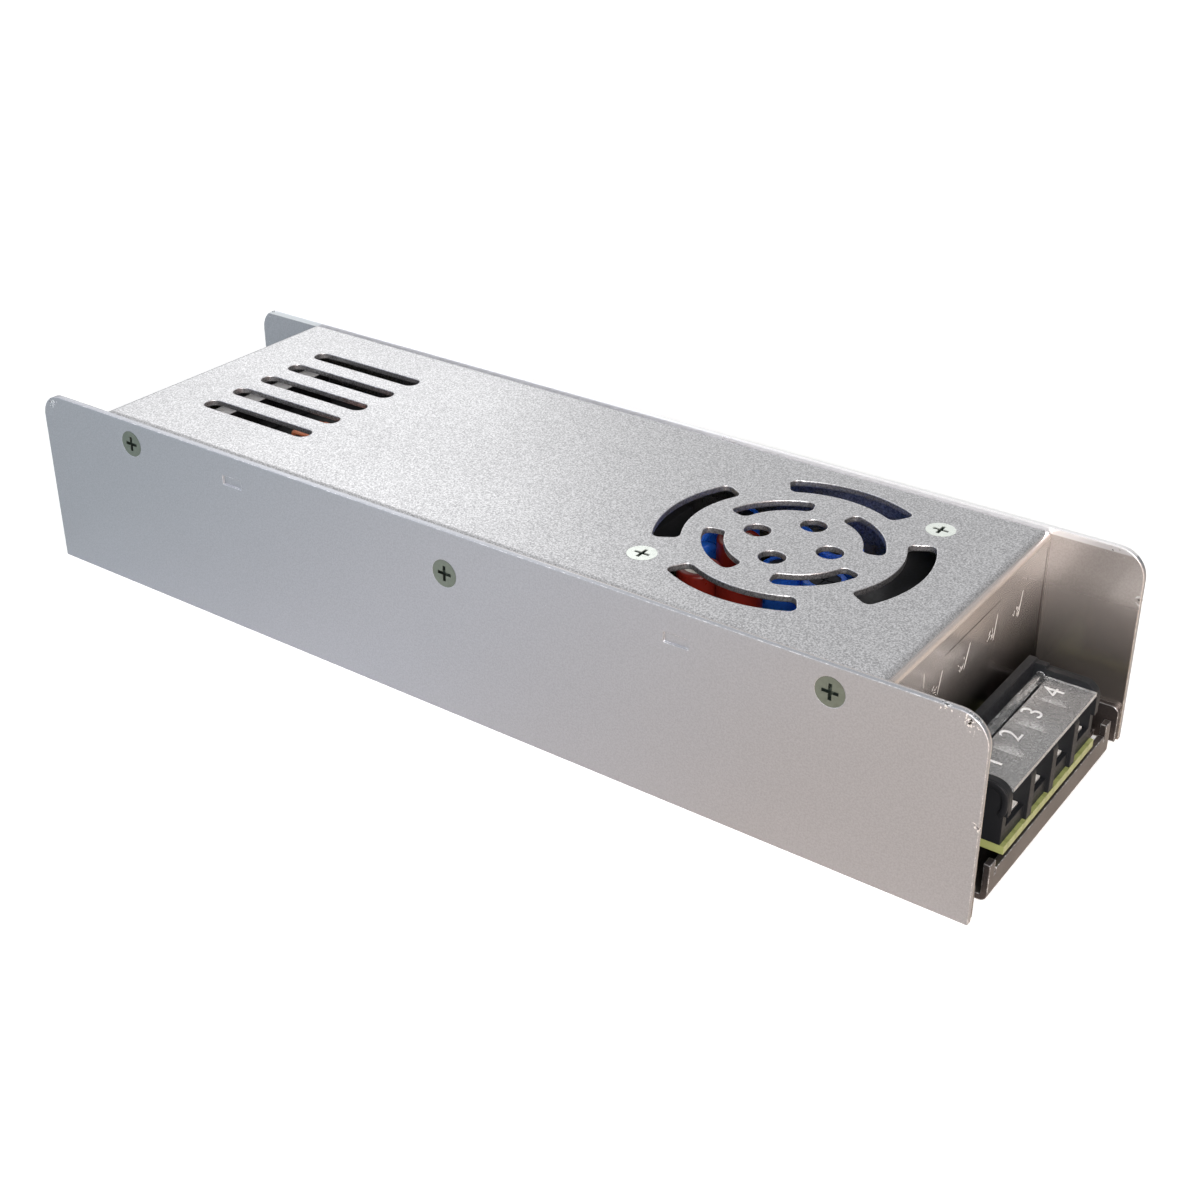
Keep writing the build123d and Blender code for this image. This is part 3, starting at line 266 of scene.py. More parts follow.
# Plated small metal parts: even metal with the faint mottle that the bath leaves
def platedSteel(name, looks):
    material, tree, shader, place = startMaterial(name)
    mottle = addNode(tree, "ShaderNodeTexNoise", {"Scale": 1 / plating["mottle"], "Detail": 3.0},
                     {"Vector": place})
    colour = addNode(tree, "ShaderNodeMix",
                     {"data_type": "RGBA", 6: hexColour(looks["dark"]), 7: hexColour(looks["light"])},
                     {0: mottle.outputs["Fac"]}).outputs[2]
    least, most = (looks["roughness"] + change for change in plating["glossSpread"])
    gloss = addNode(tree, "ShaderNodeMapRange", {**softSpan, 3: least, 4: most}, {0: mottle.outputs["Fac"]})
    grit = addNode(tree, "ShaderNodeTexNoise", {"Scale": 1 / plating["grit"], "Detail": 2.0},
                   {"Vector": place})
    skin = addNode(tree, "ShaderNodeBump", {"Strength": plating["relief"], "Distance": plating["depth"]},
                   {"Height": grit.outputs["Fac"]})
    if "recess" in looks:
        # painted shade darkens the bottom of each cross
        paintedShadeMask = placeRamp(tree, place, *looks["recess"], mirrored=True)
        colour = addNode(tree, "ShaderNodeMix", {"data_type": "RGBA", 7: hexColour(looks["grease"])},
                         {0: paintedShadeMask, 6: colour}).outputs[2]
    tree.links.new(colour, shader.inputs["Base Color"])
    tree.links.new(gloss.outputs[0], shader.inputs["Roughness"])
    tree.links.new(skin.outputs[0], shader.inputs["Normal"])
    shader.inputs["Metallic"].default_value = looks["metallic"]
    return material


for name, looks in steelLooks.items():
    paint(looks["nodes"], platedSteel(name, looks))
print("metal fittings painted")

# What the plastics share, unless an entry says otherwise
plasticUsual = {
    "grain": 0.5 * mm, "texture": 0.15, "gloss": 0.5, "cloud": 6 * mm, "edge": 0.2 * mm, "depth": 0.03 * mm,
    "glossSpread": (-0.05, 0.08),
}
plasticLooks = {
    "black moulded terminal block": {
        "nodes": ("output_terminal_block", "input_terminal_block"),
        "light": "#1c1e21", "dark": "#141517", "roughness": 0.46, "grain": 0.45 * mm, "gloss": 0.22,
    },
    "black epoxy moulding": {
        "nodes": ("bridge_rectifier", "output_rectifiers", "switch_transistors", "control_chip",
                  "transformer_bobbin"),
        "light": "#232325", "dark": "#161617", "roughness": 0.55, "grain": 0.3 * mm,
    },
    "black capacitor box": {
        "nodes": ("filter_capacitor",), "light": "#1d1e21", "dark": "#131416", "roughness": 0.5,
    },
    "yellow capacitor box": {
        "nodes": ("input_film_capacitor",), "light": "#cfae2e", "dark": "#b5931f", "roughness": 0.4,
    },
    "blue epoxy coating": {
        "nodes": ("surge_varistor", "suppressor_capacitors"),
        "light": "#2d74e6", "dark": "#1650b4", "roughness": 0.28,
        "grain": 1.6 * mm, "texture": 0.3, "gloss": 0.6,
    },
    "black epoxy coating": {
        "nodes": ("inrush_thermistor",),
        "light": "#26272a", "dark": "#151618", "roughness": 0.35, "grain": 1.6 * mm, "texture": 0.3,
    },
    "dark shrink sleeve": {
        "nodes": ("bulk_capacitor_sleeves",),
        "light": "#1d2028", "dark": "#12141a", "roughness": 0.33, "grain": 2.0 * mm, "texture": 0.1,
    },
    "dark red shrink sleeve": {
        "nodes": ("red_capacitor_sleeves",),
        "light": "#9a2c20", "dark": "#6e1a12", "roughness": 0.32,
        "grain": 2.0 * mm, "texture": 0.1, "gloss": 0.6,
    },
    "blue shrink sleeve": {
        "nodes": ("blue_capacitor_sleeves",),
        "light": "#3f8cff", "dark": "#2464f4", "roughness": 0.30,
        "grain": 2.0 * mm, "texture": 0.1, "gloss": 0.6,
    },
    "insulating polyester film": {
        "nodes": ("insulating_film",), "light": "#dedcd2", "dark": "#cfcdc2", "roughness": 0.45,
    },
}


# Moulded or coated plastic: nearly even colour with the fine texture of the tool, soft on its edges
def mouldedPlastic(name, looks):
    material, tree, shader, place = startMaterial(name)
    fine = addNode(tree, "ShaderNodeTexNoise", {"Scale": 1 / looks["grain"], "Detail": 3.0},
                   {"Vector": place})
    cloud = addNode(tree, "ShaderNodeTexNoise", {"Scale": 1 / looks["cloud"], "Detail": 2.0},
                    {"Vector": place})
    tone = addNode(tree, "ShaderNodeMix",
                   {"data_type": "RGBA", 6: hexColour(looks["dark"]), 7: hexColour(looks["light"])},
                   {0: cloud.outputs["Fac"]})
    least, most = (looks["roughness"] + change for change in looks["glossSpread"])
    gloss = addNode(tree, "ShaderNodeMapRange", {**softSpan, 3: least, 4: most}, {0: fine.outputs["Fac"]})
    rounded = addNode(tree, "ShaderNodeBevel", {"samples": 4, "Radius": looks["edge"]})
    skin = addNode(tree, "ShaderNodeBump", {"Strength": looks["texture"], "Distance": looks["depth"]},
                   {"Height": fine.outputs["Fac"], "Normal": rounded.outputs[0]})
    tree.links.new(tone.outputs[2], shader.inputs["Base Color"])
    tree.links.new(gloss.outputs[0], shader.inputs["Roughness"])
    tree.links.new(skin.outputs[0], shader.inputs["Normal"])
    shader.inputs["Specular IOR Level"].default_value = looks["gloss"]
    return material


for name, looks in plasticLooks.items():
    paint(looks["nodes"], mouldedPlastic(name, {**plasticUsual, **looks}))

lidLooks = {
    "light": "#eff0f0", "dark": "#969798", "clear": 0.84, "roughness": (0.12, 0.24), "grain": 0.45 * mm,
    "relief": 0.15, "depth": 0.03 * mm, "ior": 1.58,
    # the hinge bar and its arms, nearer the middle of the case than this, are polished
    "polished": ("X", 102.6 * mm, 102.2 * mm), "barClear": 0.96, "barRoughness": 0.05,
    # how solid the lid is to lamp light, which has to reach the screws below
    "shade": 0.12,
}


# Clear moulded polycarbonate with a frosted skin: grey and speckled over the black block, and the screws
# show through
def clearPolycarbonate(name, looks):
    material, tree, shader, place = startMaterial(name)
    fine = addNode(tree, "ShaderNodeTexNoise", {"Scale": 1 / looks["grain"], "Detail": 3.0, "Roughness": 0.7},
                   {"Vector": place})
    speck = addNode(tree, "ShaderNodeMapRange", hardSpan, {0: fine.outputs["Fac"]})
    tone = addNode(tree, "ShaderNodeMix",
                   {"data_type": "RGBA", 6: hexColour(looks["dark"]), 7: hexColour(looks["light"])},
                   {0: speck.outputs[0]})
    gloss = addNode(tree, "ShaderNodeMapRange",
                    {**softSpan, 3: looks["roughness"][0], 4: looks["roughness"][1]},
                    {0: fine.outputs["Fac"]})
    bar = placeRamp(tree, place, *looks["polished"], mirrored=True)
    smooth = addNode(tree, "ShaderNodeMix", {3: looks["barRoughness"]}, {0: bar, 2: gloss.outputs[0]})
    clear = addNode(tree, "ShaderNodeMix", {2: looks["clear"], 3: looks["barClear"]}, {0: bar})
    skin = addNode(tree, "ShaderNodeBump", {"Strength": looks["relief"], "Distance": looks["depth"]},
                   {"Height": fine.outputs["Fac"]})
    path = addNode(tree, "ShaderNodeLightPath")
    shade = addNode(tree, "ShaderNodeMapRange", {3: 1.0, 4: looks["shade"]},
                    {0: path.outputs["Is Shadow Ray"]})
    tree.links.new(tone.outputs[2], shader.inputs["Base Color"])
    tree.links.new(smooth.outputs[0], shader.inputs["Roughness"])
    tree.links.new(clear.outputs[0], shader.inputs["Transmission Weight"])
    tree.links.new(skin.outputs[0], shader.inputs["Normal"])
    tree.links.new(shade.outputs[0], shader.inputs["Alpha"])
    shader.inputs["IOR"].default_value = looks["ior"]
    return material


paint(["output_terminal_lid", "input_terminal_lid"],
      clearPolycarbonate("frosted clear polycarbonate", lidLooks))
print("plastics painted")

boardLooks = {
    "mask": "#7f8650", "track": "#8d945c", "core": "#8f8c62",
    "row": 3.2 * mm, "length": 17 * mm, "gap": 0.5 * mm, "weave": 0.9 * mm, "weaveLevel": 0.25,
    "relief": 0.3, "depth": 0.04 * mm, "roughness": 0.32,
}


# Glass epoxy board under a yellowish green solder mask, with broad tracks that show through it
def solderMask(looks):
    material, tree, shader, place = startMaterial("solder mask over glass epoxy")
    tracks = addNode(tree, "ShaderNodeTexBrick",
                     {"Scale": 1.0, "Mortar Size": looks["gap"], "Brick Width": looks["length"],
                      "Row Height": looks["row"], "Color1": (1, 1, 1, 1), "Color2": (1, 1, 1, 1),
                      "Mortar": (0, 0, 0, 1)}, {"Vector": place})
    weave = addNode(tree, "ShaderNodeTexNoise", {"Scale": 1 / looks["weave"], "Detail": 2.0},
                    {"Vector": place})
    base = addNode(tree, "ShaderNodeMix",
                   {"data_type": "RGBA", 6: hexColour(looks["track"]), 7: hexColour(looks["mask"])},
                   {0: tracks.outputs["Fac"]})
    glass = addNode(tree, "ShaderNodeMapRange", {**softSpan, 4: looks["weaveLevel"]},
                    {0: weave.outputs["Fac"]})
    tone = addNode(tree, "ShaderNodeMix", {"data_type": "RGBA", 7: hexColour(looks["core"])},
                   {0: glass.outputs[0], 6: base.outputs[2]})
    relief = addNode(tree, "ShaderNodeBump", {"Strength": looks["relief"], "Distance": looks["depth"]},
                     {"Height": tracks.outputs["Fac"]})
    tree.links.new(tone.outputs[2], shader.inputs["Base Color"])
    tree.links.new(relief.outputs[0], shader.inputs["Normal"])
    shader.inputs["Roughness"].default_value = looks["roughness"]
    return material


ferriteLooks = {
    "dark": "#1c1c1e", "light": "#37383a", "sand": 0.4 * mm,
    "relief": 0.3, "depth": 0.04 * mm, "roughness": 0.6,
}


# Fired ferrite: dark grey ceramic with a sandy skin
def firedFerrite(looks):
    material, tree, shader, place = startMaterial("fired ferrite")
    sand = addNode(tree, "ShaderNodeTexNoise", {"Scale": 1 / looks["sand"], "Detail": 3.0},
                   {"Vector": place})
    tone = addNode(tree, "ShaderNodeMix",
                   {"data_type": "RGBA", 6: hexColour(looks["dark"]), 7: hexColour(looks["light"])},
                   {0: sand.outputs["Fac"]})
    skin = addNode(tree, "ShaderNodeBump", {"Strength": looks["relief"], "Distance": looks["depth"]},
                   {"Height": sand.outputs["Fac"]})
    tree.links.new(tone.outputs[2], shader.inputs["Base Color"])
    tree.links.new(skin.outputs[0], shader.inputs["Normal"])
    shader.inputs["Roughness"].default_value = looks["roughness"]
    return material


copperLooks = {
    "dark": "#f0703e", "light": "#ffbc96", "turn": 1.8 * mm, "relief": 0.1, "depth": 0.05 * mm,
    "metallic": 0.15, "roughness": 0.32,
}


# Copper wire under clear enamel: warm, with redder and paler turns, and the enamel hides most of the metal
def enamelledCopper(looks):
    material, tree, shader, place = startMaterial("enamelled copper wire")
    turns = addNode(tree, "ShaderNodeTexNoise", {"Scale": 1 / looks["turn"], "Detail": 2.0},
                    {"Vector": place})
    tone = addNode(tree, "ShaderNodeMix",
                   {"data_type": "RGBA", 6: hexColour(looks["dark"]), 7: hexColour(looks["light"])},
                   {0: turns.outputs["Fac"]})
    skin = addNode(tree, "ShaderNodeBump", {"Strength": looks["relief"], "Distance": looks["depth"]},
                   {"Height": turns.outputs["Fac"]})
    tree.links.new(tone.outputs[2], shader.inputs["Base Color"])
    tree.links.new(skin.outputs[0], shader.inputs["Normal"])
    shader.inputs["Metallic"].default_value = looks["metallic"]
    shader.inputs["Roughness"].default_value = looks["roughness"]
    return material


tapeLooks = {
    "dark": "#c9b23a", "light": "#dcc85a", "lap": 2 * mm, "distortion": 0.6,
    "relief": 0.2, "depth": 0.05 * mm, "roughness": 0.3,
}


# Polyester tape wound over the coil, its overlaps as fine steps. The bands are pi / 10 apart at a scale of 1
def windingTape(looks):
    material, tree, shader, place = startMaterial("yellow polyester tape")
    layer = addNode(tree, "ShaderNodeTexWave",
                    {"wave_type": "BANDS", "bands_direction": "Z", "Scale": math.pi / 10 / looks["lap"],
                     "Distortion": looks["distortion"]}, {"Vector": place})
    tone = addNode(tree, "ShaderNodeMix",
                   {"data_type": "RGBA", 6: hexColour(looks["dark"]), 7: hexColour(looks["light"])},
                   {0: layer.outputs["Fac"]})
    steps = addNode(tree, "ShaderNodeBump", {"Strength": looks["relief"], "Distance": looks["depth"]},
                    {"Height": layer.outputs["Fac"]})
    tree.links.new(tone.outputs[2], shader.inputs["Base Color"])
    tree.links.new(steps.outputs[0], shader.inputs["Normal"])
    shader.inputs["Roughness"].default_value = looks["roughness"]
    return material


glassLooks = {
    "dark": "#e6efee", "light": "#f6fafa", "streak": 3 * mm, "clear": 0.95, "roughness": 0.04, "ior": 1.5,
}


# Clear drawn glass with faint streaks
def fuseGlass(looks):
    material, tree, shader, place = startMaterial("fuse glass")
    streak = addNode(tree, "ShaderNodeTexNoise", {"Scale": 1 / looks["streak"], "Detail": 2.0},
                     {"Vector": place})
    tone = addNode(tree, "ShaderNodeMix",
                   {"data_type": "RGBA", 6: hexColour(looks["dark"]), 7: hexColour(looks["light"])},
                   {0: streak.outputs["Fac"]})
    tree.links.new(tone.outputs[2], shader.inputs["Base Color"])
    shader.inputs["Transmission Weight"].default_value = looks["clear"]
    shader.inputs["Roughness"].default_value = looks["roughness"]
    shader.inputs["IOR"].default_value = looks["ior"]
    return material


drawnLooks = {
    "drawn aluminium can": {
        "nodes": ("bulk_capacitor_cans", "red_capacitor_cans"),
        "light": "#f2ede2", "dark": "#d8d3c8", "roughness": 0.34, "metallic": 0.5,
    },
    "dark coated capacitor can": {
        "nodes": ("blue_capacitor_cans",),
        "light": "#2b2e35", "dark": "#1c1e23", "roughness": 0.42, "metallic": 0.3,
    },
    "mill finish aluminium": {
        "nodes": ("primary_heatsink",),
        "light": "#fafafa", "dark": "#e6e6e8", "roughness": 0.30, "metallic": 0.45,
    },
    "anodised aluminium with a bare cap": {
        "nodes": ("input_heatsink",),
        "light": "#ffffff", "dark": "#f6f6f8", "roughness": 0.30, "metallic": 0.1,
        # painted shade: black below the cap, fading in between these heights
        "anodised": (35.9 * mm, 35.7 * mm),
    },
    "black anodised aluminium": {
        "nodes": ("output_heatsink",),
        "light": "#242426", "dark": "#151516", "roughness": 0.42, "metallic": 0.3,
    },
}
drawing = {
    "line": 0.6 * mm, "stretch": 0.12, "relief": 0.12, "depth": 0.03 * mm, "glossSpread": (-0.05, 0.1),
    # the colour of the painted shade below the input heatsink's cap
    "anodised": "#161618",
}


# Drawn or extruded aluminium: fine lines along its height
def drawnAluminium(name, looks):
    material, tree, shader, place = startMaterial(name)
    along = addNode(tree, "ShaderNodeMapping", {"Scale": (1, 1, drawing["stretch"])}, {"Vector": place})
    lines = addNode(tree, "ShaderNodeTexNoise", {"Scale": 1 / drawing["line"], "Detail": 3.0},
                    {"Vector": along.outputs[0]})
    colour = addNode(tree, "ShaderNodeMix",
                     {"data_type": "RGBA", 6: hexColour(looks["dark"]), 7: hexColour(looks["light"])},
                     {0: lines.outputs["Fac"]}).outputs[2]
    least, most = (looks["roughness"] + change for change in drawing["glossSpread"])
    gloss = addNode(tree, "ShaderNodeMapRange", {**softSpan, 3: least, 4: most}, {0: lines.outputs["Fac"]})
    skin = addNode(tree, "ShaderNodeBump", {"Strength": drawing["relief"], "Distance": drawing["depth"]},
                   {"Height": lines.outputs["Fac"]})
    if "anodised" in looks:
        # painted shade: black below its pale cap
        paintedShadeMask = placeRamp(tree, place, "Z", *looks["anodised"])
        colour = addNode(tree, "ShaderNodeMix", {"data_type": "RGBA", 7: hexColour(drawing["anodised"])},
                         {0: paintedShadeMask, 6: colour}).outputs[2]
    tree.links.new(colour, shader.inputs["Base Color"])
    tree.links.new(gloss.outputs[0], shader.inputs["Roughness"])
    tree.links.new(skin.outputs[0], shader.inputs["Normal"])
    shader.inputs["Metallic"].default_value = looks["metallic"]
    return material


for name, looks in drawnLooks.items():
    paint(looks["nodes"], drawnAluminium(name, looks))
copperWire = enamelledCopper(copperLooks)
paint(["circuit_board"], solderMask(boardLooks))
paint(["line_choke_core", "output_choke_core", "transformer_core"], firedFerrite(ferriteLooks))
paint(["transformer_winding"], windingTape(tapeLooks))
paint(["line_choke_windings", "output_choke_winding"], copperWire)
paint(["fuse_tube"], fuseGlass(glassLooks))
print("electronics painted")


def selectOnly(pieces):
    bpy.ops.object.select_all(action="DESELECT")
    for piece in pieces:
        piece.select_set(True)
    bpy.context.view_layer.objects.active = pieces[0]


# Several pieces as one, with one material, in its slot and on its body
def finishPiece(pieces, name, material, body):
    selectOnly(pieces)
    if len(pieces) > 1:
        bpy.ops.object.join()
    piece = bpy.context.view_layer.objects.active
    piece.name = name
    piece.data.materials.clear()
    piece.data.materials.append(material)
    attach(piece, body)
    return piece


# local Z runs along the case, local X across it and local Y up
alongCase = Matrix(((0, 0, 1, 0), (1, 0, 0, 0), (0, 1, 0, 0), (0, 0, 0, 1)))

lineChoke = {
    "outer": 12.6 * mm, "inner": 7.4 * mm, "width": 10 * mm, "wire": 0.96 * mm,
    "starts": (15, 195), "span": 150, "turns": 18, "centre": (-56.6 * mm, -5.5 * mm, 21.55 * mm),
}
outputChoke = {
    "outer": 8.6 * mm, "inner": 4.8 * mm, "width": 8 * mm, "wire": 1.15 * mm,
    "starts": (0,), "span": 300, "turns": 18, "centre": (31.03 * mm, -21.4 * mm, 13.1 * mm),
}
winding = {
    # hand work: how far a turn strays round the ring and leans, in degrees
    "stray": 0.25, "lean": 0.6,
    # parts of the wire's thickness: what shows of it between its neighbours, and its bend at a corner
    "fill": 0.97, "bend": 0.9,
    "bendSegments": 3, "wireSegments": 2,
}


# A closed loop of wire round a core's section, upright in local XZ
def wireTurn(width, height, wireRadius, corner):
    bpy.ops.object.select_all(action="DESELECT")
    bpy.ops.mesh.primitive_plane_add(size=1)
    loop = bpy.context.object
    bpy.ops.object.mode_set(mode="EDIT")
    bpy.ops.mesh.select_all(action="SELECT")
    bpy.ops.transform.resize(value=(width, height, 1))
    bpy.ops.mesh.delete(type="ONLY_FACE")
    bpy.ops.mesh.select_all(action="SELECT")
    bpy.ops.mesh.bevel(offset=corner, segments=winding["bendSegments"], affect="VERTICES")
    bpy.ops.object.mode_set(mode="OBJECT")
    bpy.ops.object.convert(target="CURVE")
    loop.data.bevel_depth = wireRadius
    loop.data.bevel_resolution = winding["wireSegments"]
    bpy.ops.object.convert(target="MESH")
    loop = bpy.context.object
    loop.data.transform(Matrix.Rotation(math.radians(90), 4, "X"))
    selectOnly([loop])
    bpy.ops.object.shade_smooth()
    return loop


# Turns set round a ring whose axis is local Z, then moved to their place
def ringTurns(ring, toPlace):
    wire, stray, lean = ring["wire"], winding["stray"], winding["lean"]
    inside = ring["inner"] - wire / 2
    outside = ring["outer"] + wire / 2
    turn = wireTurn(outside - inside, ring["width"] + wire,
                    wire / 2 * winding["fill"], wire * winding["bend"])
    turn.data.transform(Matrix.Translation(((outside + inside) / 2, 0, 0)))
    pieces = []
    for start in ring["starts"]:
        for step in range(ring["turns"]):
            copy = turn.copy()
            copy.data = turn.data.copy()
            bpy.context.scene.collection.objects.link(copy)
            angle = start + ring["span"] * (step + 0.5) / ring["turns"] + random.uniform(-stray, stray)
            leaning = Matrix.Rotation(math.radians(random.uniform(-lean, lean)), 4, "X")
            copy.data.transform(toPlace @ Matrix.Rotation(math.radians(angle), 4, "Z") @ leaning)
            pieces.append(copy)
    bpy.data.objects.remove(turn)
    return pieces


lineTurns = finishPiece(ringTurns(lineChoke, Matrix.Translation(lineChoke["centre"]) @ alongCase),
                        "line_choke_turns", copperWire, "case")
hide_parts("line_choke_windings")
outputTurns = finishPiece(ringTurns(outputChoke, Matrix.Translation(outputChoke["centre"])),
                          "output_choke_turns", copperWire, "case")
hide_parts("output_choke_winding")
print("chokes wound")

lidNumbers = {
    "size": 5.8 * mm, "raise": 0.10 * mm, "top": 18.85 * mm,
    # part of the size that thins each stroke
    "thin": 0.012,
    "light": "#e9eaea", "dark": "#c9cacb", "cloud": 0.6 * mm, "roughness": 0.22, "ior": 1.58,
    "places": (
        (105.5 * mm, -14.3 * mm), (104.9 * mm, -5.1 * mm), (105.0 * mm, 3.7 * mm), (105.3 * mm, 12.3 * mm),
    ),
}


# A plain number moulded on the lid, read from the terminals' end
def raisedNumber(text, place):
    bpy.ops.object.select_all(action="DESELECT")
    bpy.ops.object.text_add(location=(0, 0, 0))
    number = bpy.context.object
    number.data.body = text
    number.data.size = lidNumbers["size"]
    number.data.align_x = "CENTER"
    number.data.align_y = "CENTER"
    number.data.extrude = lidNumbers["raise"] / 2
    number.data.offset = -lidNumbers["size"] * lidNumbers["thin"]
    bpy.ops.object.convert(target="MESH")
    number = bpy.context.object
    height = lidNumbers["top"] + lidNumbers["raise"] / 2
    number.data.transform(Matrix.Translation((*place, height)) @ Matrix.Rotation(math.radians(90), 4, "Z"))
    return number


# The numbers' polished faces: paler than the frosted lid and a little cloudy
def polishedNumber(looks):
    material, tree, shader, place = startMaterial("moulded number, polycarbonate")
    fine = addNode(tree, "ShaderNodeTexNoise", {"Scale": 1 / looks["cloud"], "Detail": 2.0},
                   {"Vector": place})
    tone = addNode(tree, "ShaderNodeMix",
                   {"data_type": "RGBA", 6: hexColour(looks["dark"]), 7: hexColour(looks["light"])},
                   {0: fine.outputs["Fac"]})
    tree.links.new(tone.outputs[2], shader.inputs["Base Color"])
    shader.inputs["Roughness"].default_value = looks["roughness"]
    shader.inputs["IOR"].default_value = looks["ior"]
    return material


finishPiece([raisedNumber(str(i + 1), place) for i, place in enumerate(lidNumbers["places"])],
            "output_lid_numbers", polishedNumber(lidNumbers), "output_lid")
print("numbers set on the lid")

blockRim = {
    "back": 97.7 * mm, "front": 111.7 * mm, "low": 12.7 * mm, "high": 20.0 * mm, "corner": 3.0 * mm,
    "cornerSegments": 6, "band": 1.1 * mm, "proud": 0.5 * mm, "softEdge": 0.12 * mm, "smoothAngle": 35,
    # where the two end walls' faces are across the case, and which way each looks
    "faces": ((-21.1 * mm, -1), (18.4 * mm, 1)),
}


# A raised band round the top and front of a block's end wall
def endWallRim(y, side):
    length = blockRim["front"] - blockRim["back"]
    height = blockRim["high"] - blockRim["low"]
    bpy.ops.object.select_all(action="DESELECT")
    bpy.ops.mesh.primitive_plane_add(size=1)
    rim = bpy.context.object
    rim.data.transform(Matrix.Diagonal((length, height, 1, 1)))
    for vertex in rim.data.vertices:
        vertex.select = vertex.co.x > 0 and vertex.co.y > 0
    bpy.ops.object.mode_set(mode="EDIT")
    bpy.ops.mesh.select_mode(type="VERT")
    bpy.ops.mesh.bevel(offset=blockRim["corner"], segments=blockRim["cornerSegments"], affect="VERTICES")
    bpy.ops.mesh.select_all(action="SELECT")
    bpy.ops.mesh.inset(thickness=blockRim["band"], depth=0)
    bpy.ops.mesh.delete(type="FACE")
    bpy.ops.mesh.select_all(action="DESELECT")
    bpy.ops.object.mode_set(mode="OBJECT")
    # the band's back and bottom parts go: only the top and front are raised
    for face in rim.data.polygons:
        low = face.center.y < -height / 2 + blockRim["band"]
        back = face.center.x < -length / 2 + blockRim["band"]
        face.select = low or back
    bpy.ops.object.mode_set(mode="EDIT")
    bpy.ops.mesh.select_mode(type="FACE")
    bpy.ops.mesh.delete(type="FACE")
    bpy.ops.mesh.select_all(action="SELECT")
    bpy.ops.mesh.extrude_region_move(TRANSFORM_OT_translate={"value": (0, 0, blockRim["proud"])})
    bpy.ops.mesh.select_all(action="SELECT")
    bpy.ops.mesh.normals_make_consistent(inside=False)
    bpy.ops.mesh.bevel(offset=blockRim["softEdge"], segments=2, affect="EDGES")
    bpy.ops.object.mode_set(mode="OBJECT")
    # local Z is the way out of the wall, local Y is up
    upright = Matrix(((1, 0, 0, 0), (0, 0, side, 0), (0, 1, 0, 0), (0, 0, 0, 1)))
    middle = ((blockRim["front"] + blockRim["back"]) / 2, y, (blockRim["high"] + blockRim["low"]) / 2)
    rim.data.transform(Matrix.Translation(middle) @ upright)
    selectOnly([rim])
    bpy.ops.object.mode_set(mode="EDIT")
    bpy.ops.mesh.select_all(action="SELECT")
    bpy.ops.mesh.normals_make_consistent(inside=False)
    bpy.ops.object.mode_set(mode="OBJECT")
    bpy.ops.object.shade_smooth_by_angle(angle=math.radians(blockRim["smoothAngle"]))
    return rim


blockSkin = nodes["output_terminal_block"].material_slots[0].material
finishPiece([endWallRim(*face) for face in blockRim["faces"]],
            "output_block_rims", blockSkin, "case")
print("block rims raised")

panelMarks = {
    "face": 93.8 * mm, "thickness": 0.03 * mm, "sunk": 0.3, "corners": 12,
    "width": 0.22 * mm, "light": "#f8f6f3", "dark": "#cfcac4", "metallic": 0.2,
    # each stroke from its low end to its top, across and up, in mm; the fifth has no hairs
    "strokes": (
        (-13.27, 27.2, -11.98, 31.5), (-2.69, 27.0, -0.98, 31.7), (9.41, 27.1, 10.33, 32.2),
        (20.36, 26.8, 21.46, 32.0), (-19.15, 31.5, -19.51, 34.7),
    ),
    # fine scratches beside each stroke: how many, how far across and up in mm, their lean and length
    "haired": 4, "hairs": 7, "hairWidth": 0.09 * mm, "hairAcross": (0.3, 2.6), "hairUp": (0.1, 2.4),
    "hairLean": (-75, 60), "hairLength": (0.4, 1.3),
    # painted shade lines: a dark line along a crease near the top and one in the gap beside the far wall,
    # with their widths
    "shadeLines": ((11.4, 34.7, -12.1, 34.2, 0.22), (31.55, 14.5, 31.55, 37.0, 0.32)),
    "shadeLineLight": "#463f3b", "shadeLineDark": "#2b2624", "shadeLineMetallic": 0.6,
    "speck": 0.5 * mm, "roughness": 0.4,
}


# A thin stroke with tapered ends, standing just proud of the end panel
def panelStroke(fromY, fromZ, toY, toZ, width):
    length = math.hypot(toY - fromY, toZ - fromZ) * mm
    bpy.ops.object.select_all(action="DESELECT")
    bpy.ops.mesh.primitive_circle_add(vertices=panelMarks["corners"], radius=0.5, fill_type="NGON")
    stroke = bpy.context.object
    bpy.ops.object.mode_set(mode="EDIT")
    bpy.ops.mesh.select_all(action="SELECT")
    bpy.ops.transform.resize(value=(width, length, 1))
    bpy.ops.mesh.extrude_region_move(TRANSFORM_OT_translate={"value": (0, 0, panelMarks["thickness"])})
    bpy.ops.mesh.select_all(action="SELECT")
    bpy.ops.mesh.normals_make_consistent(inside=False)
    bpy.ops.object.mode_set(mode="OBJECT")
    lean = Matrix.Rotation(math.atan2(fromY - toY, toZ - fromZ), 4, "Z")
    back = panelMarks["face"] - panelMarks["thickness"] * panelMarks["sunk"]
    middle = (back, (fromY + toY) / 2 * mm, (fromZ + toZ) / 2 * mm)
    stroke.data.transform(Matrix.Translation(middle) @ alongCase @ lean)
    return stroke


# A line on the panel: bright where a tool scored it bare, dark where it is painted shade
def panelLine(name, dark, light, metallic):
    material, tree, shader, place = startMaterial(name)
    fine = addNode(tree, "ShaderNodeTexNoise",
                   {"Scale": 1 / panelMarks["speck"], "Detail": 3.0, "Roughness": 0.8}, {"Vector": place})
    tone = addNode(tree, "ShaderNodeMix", {"data_type": "RGBA", 6: hexColour(dark), 7: hexColour(light)},
                   {0: fine.outputs["Fac"]})
    tree.links.new(tone.outputs[2], shader.inputs["Base Color"])
    shader.inputs["Metallic"].default_value = metallic
    shader.inputs["Roughness"].default_value = panelMarks["roughness"]
    return material


